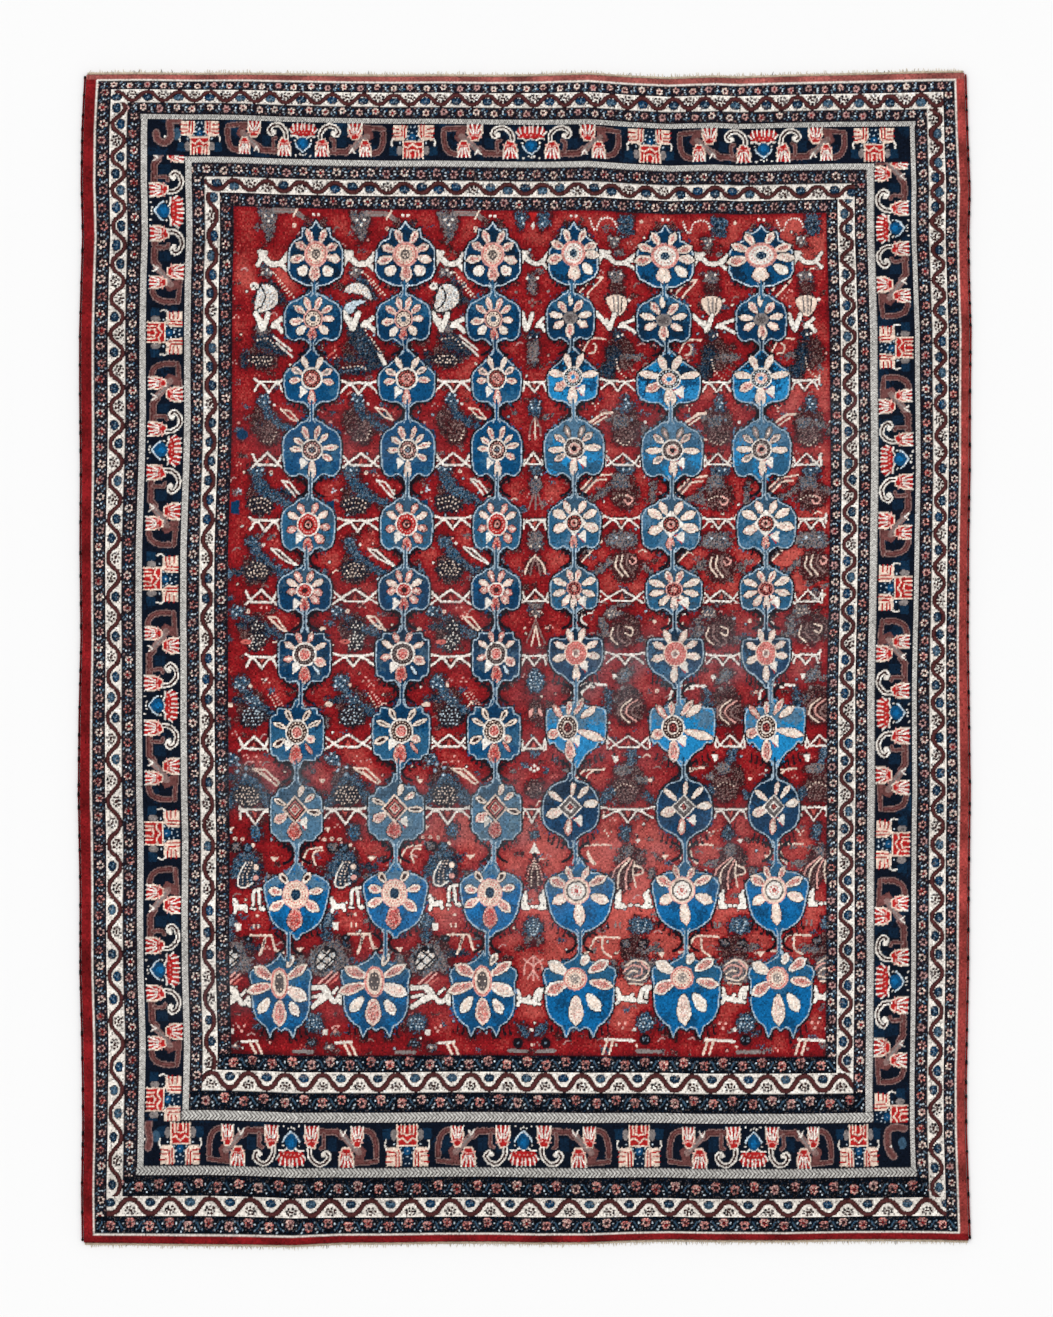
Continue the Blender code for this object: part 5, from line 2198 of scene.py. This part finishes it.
def foundation(colours):
    """The woven back on the floor, and its low side under the pile's rim."""
    x = np.linspace(-WIDTH / 2, WIDTH / 2, BACK_COLUMNS + 1)
    y = np.linspace(-LENGTH / 2, LENGTH / 2, BACK_ROWS + 1)
    points = placed(x[None, :], y[:, None], 0.0).reshape(-1, 3)
    soft = back_colours(colours, x, y)
    number_of = np.arange(len(points)).reshape(BACK_ROWS + 1, BACK_COLUMNS + 1)
    ring = np.concatenate([number_of[0, :-1], number_of[:-1, -1], number_of[-1, :0:-1], number_of[:0:-1, 0]])
    top = points[ring].copy()
    middle = np.array([SHIFT_X, SHIFT_Y]) * MM
    top[:, :2] += (middle - top[:, :2]) * BACK_TAPER
    top[:, 2] = FOUNDATION_TOP * MM
    upper = np.arange(len(points), len(points) + len(ring))
    walls = np.stack([ring, np.roll(ring, -1), np.roll(upper, -1), upper], axis=1)
    points = np.vstack([points, top])
    soft = np.vstack([soft, soft[ring]])
    faces = np.vstack([grid_faces(BACK_ROWS, BACK_COLUMNS)[:, ::-1], walls])
    piece = new_mesh("foundation", points, faces, soft[faces], flat_uv(points))
    for polygon in piece.data.polygons:
        polygon.use_smooth = True
    return piece


# ---- The side cords: wool wound closely round the outermost warps ----

CORD_REDS = ((92, 18, 22), (128, 34, 34))      # the left cord's and the right cord's, as sRGB bytes
TIE_BLACK = (16, 12, 14)
WRAPS = 640
RINGS_EACH_WRAP = 2
CORD_CORNERS = 8
CORD_END_INSET = 2.0
WRAP_SLANT = 1.3
FULLNESS = 0.82                # how full the cord is on a wrap, against a black tie
FULLNESS_LESS = 0.07           # and by how much less at most
WAIST = 0.86                   # how full it is between two wraps, against on one
CORNER_WIDE = 1.07             # how far out the cord's eight corners lie, against a round cord
CORNER_TALL = 1.05
CORD_INSET = 0.15
YARN_SHADES = (0.7, 1.15)
UV_BY_METRE = 0.48             # of the bake layout's height, for each metre of a cord
UV_SHARE = 0.98                # how much of the bake layout a piece fills, and the margin round it
UV_MARGIN = 0.01
LOWEST = 0.02                  # no corner of a cord or a warp is lower than this


def overcast(steps, draws):
    """How full a cord is at each of its rings, and which rings belong to a black tie."""
    swell = np.where(np.arange(steps + 1) % RINGS_EACH_WRAP == 0, 1.0, WAIST)
    swell = swell * (FULLNESS + np.array([draws.uniform(-FULLNESS_LESS, 0.0) for _ in range(steps + 1)]))
    ties = np.zeros(steps + 1, bool)
    tie = 0
    while tie < steps:
        ties[tie:tie + draws.randint(3, 5)] = True
        tie += draws.randint(10, 34)
    swell[ties] = 1.0
    swell[[0, -1]] = 0.5
    return swell, ties


def cord_points(side, steps, swell):
    """The rings of points of one side's cord, from the bottom end to the top."""
    ends = LENGTH / 2 - CORD_END_INSET
    y = np.linspace(-ends, ends, steps + 1)
    middle = side * (WIDTH / 2 + GAP + CORD_WIDTH / 2)
    rings_of = []
    for angle in np.arange(CORD_CORNERS) * 2 * math.pi / CORD_CORNERS + math.pi / 8:
        slant = WRAP_SLANT * math.sin(angle)
        wide = (CORD_WIDTH / 2 - CORD_INSET) * CORNER_WIDE * swell * math.cos(angle)
        tall = CORD_HEIGHT / 2 * (1 + swell * CORNER_TALL * math.sin(angle))
        spot = placed(side * WIDTH / 2, np.clip(y + slant, -ends, ends), np.maximum(tall, LOWEST))
        spot[..., 0] += (middle - side * WIDTH / 2 + wide) * MM
        rings_of.append(spot)
    return np.stack(rings_of, axis=1).reshape(-1, 3)


def cord_faces(steps):
    """The quads round a cord, and three that close each of its ends."""
    ring = np.arange(steps * CORD_CORNERS).reshape(steps, CORD_CORNERS)
    ahead = np.roll(ring, -1, axis=1)
    faces = np.stack([ring, ring + CORD_CORNERS, ahead + CORD_CORNERS, ahead], axis=-1).reshape(-1, 4)
    cap = np.array([(0, 1, 2, 3), (0, 3, 4, 7), (4, 5, 6, 7)])
    return np.vstack([faces, cap, cap[:, ::-1] + steps * CORD_CORNERS])


def selvedge(side):
    """One side's overcast cord, lying just outside the pile from end to end."""
    draws = random.Random(31 + (side > 0))
    steps = WRAPS * RINGS_EACH_WRAP
    swell, ties = overcast(steps, draws)
    points = cord_points(side, steps, swell)
    faces = cord_faces(steps)
    shade = np.repeat([draws.uniform(*YARN_SHADES) for _ in range(steps)], CORD_CORNERS)
    yarn = linear(CORD_REDS[side > 0])
    colours = np.tile(yarn, (len(faces), 1))
    colours[:len(shade)] *= shade[:, None]
    colours[:len(shade)][np.repeat(ties[:-1], CORD_CORNERS)] = linear(TIE_BLACK)
    around = np.tile(np.arange(CORD_CORNERS) / CORD_CORNERS, steps + 1)
    uv = np.stack([(points[:, 1] - points[:, 1].min()) * UV_BY_METRE, around], axis=1)
    name = "selvedge_left_wool" if side < 0 else "selvedge_right_wool"
    return new_mesh(name, points, faces, colours, uv * UV_SHARE + UV_MARGIN)


# ---- The fringes: a narrow woven web, and the loose warp ends past it ----

WARPS_EACH_END = 430
WARP_COTTON = (214, 200, 176)  # sRGB bytes
WEB_COTTON = (206, 190, 166)
WARP_INSET = 3.0
WARP_RADII = (0.62, 0.52, 0.26)
WARP_ROOT = 1.2                # how far inside the web's edge a loose warp starts
LONG_WARPS = (2.6, 7.6)        # their lengths past the start
SHORT_WARPS = (1.4, 3.0)
LONG_SHARE = 0.8
WARP_HEIGHTS = (0.9, 0.75, 0.42)
STAINED_SHARE = 0.05           # how many warps are dark
STAINED_CORNER = (-600, 0.25)  # left of this place at the top end, and how many are dark there
WEB_COLUMNS = 380
WEB_INSET = 1.5
THREAD_SIDES = 4


def thread(path, radii):
    """Points and quads of a thin four-sided thread along a path, closed at its tip."""
    points, faces = [], []
    for (x, y, z), radius in zip(path, radii):
        for corner in range(THREAD_SIDES):
            angle = 2 * math.pi * corner / THREAD_SIDES
            points.append((x + radius * math.cos(angle), y, z + radius * math.sin(angle)))
    for ring in range(len(path) - 1):
        for corner in range(THREAD_SIDES):
            a = ring * THREAD_SIDES + corner
            b = ring * THREAD_SIDES + (corner + 1) % THREAD_SIDES
            faces.append((a, b, b + THREAD_SIDES, a + THREAD_SIDES))
    tip = (len(path) - 1) * THREAD_SIDES
    faces.append((tip, tip + 1, tip + 2, tip + 3))
    return points, faces


def loose_warps(end, draws):
    """Points, quads and colours of one end's warps, which lie short and uneven on the floor."""
    points, faces, colours = [], [], []
    cotton = linear(WARP_COTTON)
    for number in range(WARPS_EACH_END):
        share = (number + 0.5) / WARPS_EACH_END
        x = share * (WIDTH - 2 * WARP_INSET) - WIDTH / 2 + WARP_INSET + draws.uniform(-0.9, 0.9)
        root = placed(x, end * LENGTH / 2, 0.0) / MM
        base_y = root[1] + end * (GAP + WEB_WIDTH - WARP_ROOT)
        reach = draws.uniform(*(LONG_WARPS if draws.random() < LONG_SHARE else SHORT_WARPS))
        lean = draws.uniform(-2.2, 2.2)
        low, half_way, tip = WARP_HEIGHTS
        path = [(root[0], base_y, low + draws.uniform(-0.2, 0.2)),
                (root[0] + lean * 0.3, base_y + end * reach * 0.5, half_way),
                (root[0] + lean, base_y + end * reach, tip)]
        spots, quads = thread(path, WARP_RADII)
        start = len(points)
        points += [(a * MM, b * MM, max(c, LOWEST) * MM) for a, b, c in spots]
        if end > 0:
            quads = [quad[::-1] for quad in quads]
        faces += [tuple(start + corner for corner in quad) for quad in quads]
        in_corner = end > 0 and x < STAINED_CORNER[0]
        dark = draws.random() < (STAINED_CORNER[1] if in_corner else STAINED_SHARE)
        shade = draws.uniform(0.16, 0.3) if dark else draws.uniform(0.72, 1.08)
        colours += [cotton * shade] * len(quads)
    return np.array(points), np.array(faces), np.array(colours)


def end_web(end, draws):
    """Points, quads and colours of one end's woven web, with a ragged outer edge."""
    x = np.linspace(-WIDTH / 2 + WEB_INSET, WIDTH / 2 - WEB_INSET, WEB_COLUMNS + 1)
    root = placed(x, end * LENGTH / 2, 0.0)
    rows = []
    for out, height in ((GAP, 0.0), (GAP, WEB_THICKNESS), (GAP + WEB_WIDTH / 2, WEB_THICKNESS * 1.05),
                        (GAP + WEB_WIDTH, WEB_THICKNESS * 0.8), (GAP + WEB_WIDTH, 0.0)):
        edge = root.copy()
        ragged = np.array([draws.uniform(-0.35, 0.35) for _ in x]) if out > GAP else 0.0
        edge[:, 1] += end * (out + ragged) * MM
        edge[:, 2] = height * MM
        rows.append(edge)
    faces = grid_faces(len(rows) - 1, WEB_COLUMNS)
    if end < 0:
        faces = faces[:, ::-1]
    wefts = np.array([draws.uniform(0.62, 1.0) for _ in faces])
    return np.vstack(rows), faces, linear(WEB_COTTON) * wefts[:, None]


def fringe(end):
    """One end's web with its loose warps: the top end's for 1 and the bottom end's for -1."""
    draws = random.Random(57 + (end > 0))
    points, faces, colours = loose_warps(end, draws)
    web_points, web_faces, web_colours = end_web(end, draws)
    faces = np.vstack([faces, web_faces + len(points)])
    points = np.vstack([points, web_points])
    name = "fringe_top_warps" if end > 0 else "fringe_bottom_warps"
    uv = flat_uv(points) * UV_SHARE + UV_MARGIN
    return new_mesh(name, points, faces, np.vstack([colours, web_colours]), uv)


# ---- Materials ----

def node_of(tree, kind, **settings):
    """A new node with its properties and inputs set; a name's _ stands for an input's space."""
    node = tree.nodes.new(kind)
    for name, value in settings.items():
        if name.replace("_", " ") in node.inputs:
            node.inputs[name.replace("_", " ")].default_value = value
        else:
            setattr(node, name, value)
    return node


def shader_of(material, roughness, specular):
    """The material's shader, with its own values set straight on its sockets."""
    material.use_nodes = True
    shader = material.node_tree.nodes["Principled BSDF"]
    shader.inputs["Roughness"].default_value = roughness
    shader.inputs["Specular IOR Level"].default_value = specular
    return shader


WOOL_SPECULAR = 0.05
SHEEN_ROUGHNESS = 0.6
FIBRE_CONTRAST = 0.28          # how much lighter or darker a fibre is than its yarn
TUFTS_TO_FIBRES = 0.55
TUFT_DEPTH = 0.0008            # in metres, as the next one
FUZZ_DEPTH = 0.0004
FUZZ_SHARE = 0.7


def wool(name, fibre, knot_bump, roughness, sheen):
    """Yarn that takes each face's own colour, with fibres, a slight fuzz and a woven or tufted surface."""
    material = bpy.data.materials.new(name)
    shader = shader_of(material, roughness, WOOL_SPECULAR)
    shader.inputs["Sheen Weight"].default_value = sheen
    shader.inputs["Sheen Roughness"].default_value = SHEEN_ROUGHNESS
    tree = material.node_tree
    yarn = node_of(tree, "ShaderNodeAttribute", attribute_name="Yarn")
    place = node_of(tree, "ShaderNodeTexCoord")
    grain = node_of(tree, "ShaderNodeTexNoise", Scale=fibre, Detail=3.0, Roughness=0.6)
    spread = node_of(tree, "ShaderNodeMapRange", From_Min=0.25, From_Max=0.75, To_Min=1 - FIBRE_CONTRAST,
                     To_Max=1 + FIBRE_CONTRAST)
    tint = node_of(tree, "ShaderNodeVectorMath", operation="SCALE")
    tufts = node_of(tree, "ShaderNodeTexVoronoi", Scale=fibre * TUFTS_TO_FIBRES)
    bump = node_of(tree, "ShaderNodeBump", Strength=knot_bump, Distance=TUFT_DEPTH)
    fuzz = node_of(tree, "ShaderNodeBump", Strength=knot_bump * FUZZ_SHARE, Distance=FUZZ_DEPTH)
    for source, target in (
            (place.outputs["Object"], grain.inputs["Vector"]),
            (grain.outputs["Fac"], spread.inputs["Value"]),
            (yarn.outputs["Color"], tint.inputs[0]),
            (spread.outputs["Result"], tint.inputs["Scale"]),
            (tint.outputs["Vector"], shader.inputs["Base Color"]),
            (place.outputs["Object"], tufts.inputs["Vector"]),
            (tufts.outputs["Distance"], bump.inputs["Height"]),
            (grain.outputs["Fac"], fuzz.inputs["Height"]),
            (bump.outputs["Normal"], fuzz.inputs["Normal"]),
            (fuzz.outputs["Normal"], shader.inputs["Normal"])):
        tree.links.new(source, target)
    return material


def floor_paint():
    """The plain pale paint of the studio floor."""
    material = bpy.data.materials.new("studio_floor")
    shader = shader_of(material, 0.9, 0.1)
    shader.inputs["Base Color"].default_value = (0.90, 0.90, 0.90, 1)
    return material


# ---- The whole rug ----

colours = knot_colours(drawn_chart())
# Each material's fibre scale, bump, roughness and sheen
pile_wool = wool("pile_wool", 900.0, 0.35, 0.95, 0.015)
back_wool = wool("back_wool", 700.0, 0.5, 0.95, 0.01)
cord_wool = wool("cord_wool", 1400.0, 0.5, 0.95, 0.02)
warp_cotton = wool("warp_cotton", 1600.0, 0.4, 0.9, 0.02)

bands = pile(colours)
back = foundation(colours)
sides = [selvedge(-1), selvedge(1)]
ends = [fringe(1), fringe(-1)]
for piece in bands:
    piece.data.materials.append(pile_wool)
    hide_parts("rug_sheet")
back.data.materials.append(back_wool)
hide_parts("rug_sheet")
for piece, node in zip(sides, ("selvedge_left", "selvedge_right")):
    piece.data.materials.append(cord_wool)
    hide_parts(node)
for piece, node in zip(ends, ("fringe_top", "fringe_bottom")):
    piece.data.materials.append(warp_cotton)
    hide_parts(node)
for piece in bands + [back] + sides + ends:
    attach(piece, "root")

# ---- Floor, light and camera ----

PHOTO_WIDE = 1053              # the photograph's frame, in pixels
PHOTO_TALL = 1317
RUG_MIDDLE_X = 524.8           # the rug's middle in that frame, in pixels from its left and top
RUG_MIDDLE_Y = 658.75
CAMERA_UP = 12.0               # metres over the pile
SENSOR = 36.0                  # mm
FLOOR_HALF = 9.0
FLOOR_DROP = 0.0004            # the floor lies this far under the rug, so that the two faces don't mix
DAYLIGHT = 0.80
LAMP_STRENGTH = 1.1
LAMP_SPREAD = 40               # degrees, as the next one
LAMP_LEAN = (-28, -24)

corners = [(x * FLOOR_HALF, y * FLOOR_HALF, -FLOOR_DROP) for x, y in ((-1, -1), (1, -1), (1, 1), (-1, 1))]
floor_mesh = bpy.data.meshes.new("floor")
floor_mesh.from_pydata(corners, [], [(0, 1, 2, 3)])
floor = bpy.data.objects.new("floor", floor_mesh)
floor.data.materials.append(floor_paint())
bpy.context.scene.collection.objects.link(floor)

world = bpy.data.worlds.new("studio")
world.use_nodes = True
sky = world.node_tree.nodes["Background"]
sky.inputs["Color"].default_value = (1, 1, 1, 1)
sky.inputs["Strength"].default_value = DAYLIGHT
bpy.context.scene.world = world
lamp_data = bpy.data.lights.new("key", "SUN")
lamp_data.energy = LAMP_STRENGTH
lamp_data.angle = math.radians(LAMP_SPREAD)
lamp = bpy.data.objects.new("key", lamp_data)
lamp.rotation_euler = (math.radians(LAMP_LEAN[0]), math.radians(LAMP_LEAN[1]), 0)
bpy.context.scene.collection.objects.link(lamp)

camera_data = bpy.data.cameras.new("camera")
camera_data.sensor_fit = "VERTICAL"
camera_data.sensor_height = SENSOR
camera_data.lens = SENSOR * CAMERA_UP / (PHOTO_TALL * PX * MM)
camera_data.clip_end = 100.0
camera = bpy.data.objects.new("camera", camera_data)
camera.location = (((PHOTO_WIDE / 2 - RUG_MIDDLE_X) * PX + SHIFT_X) * MM,
                   ((RUG_MIDDLE_Y - PHOTO_TALL / 2) * PX + SHIFT_Y) * MM,
                   CAMERA_UP + PILE_TOP * MM)
bpy.context.scene.collection.objects.link(camera)
bpy.context.scene.camera = camera
bpy.context.scene.view_settings.view_transform = "Standard"
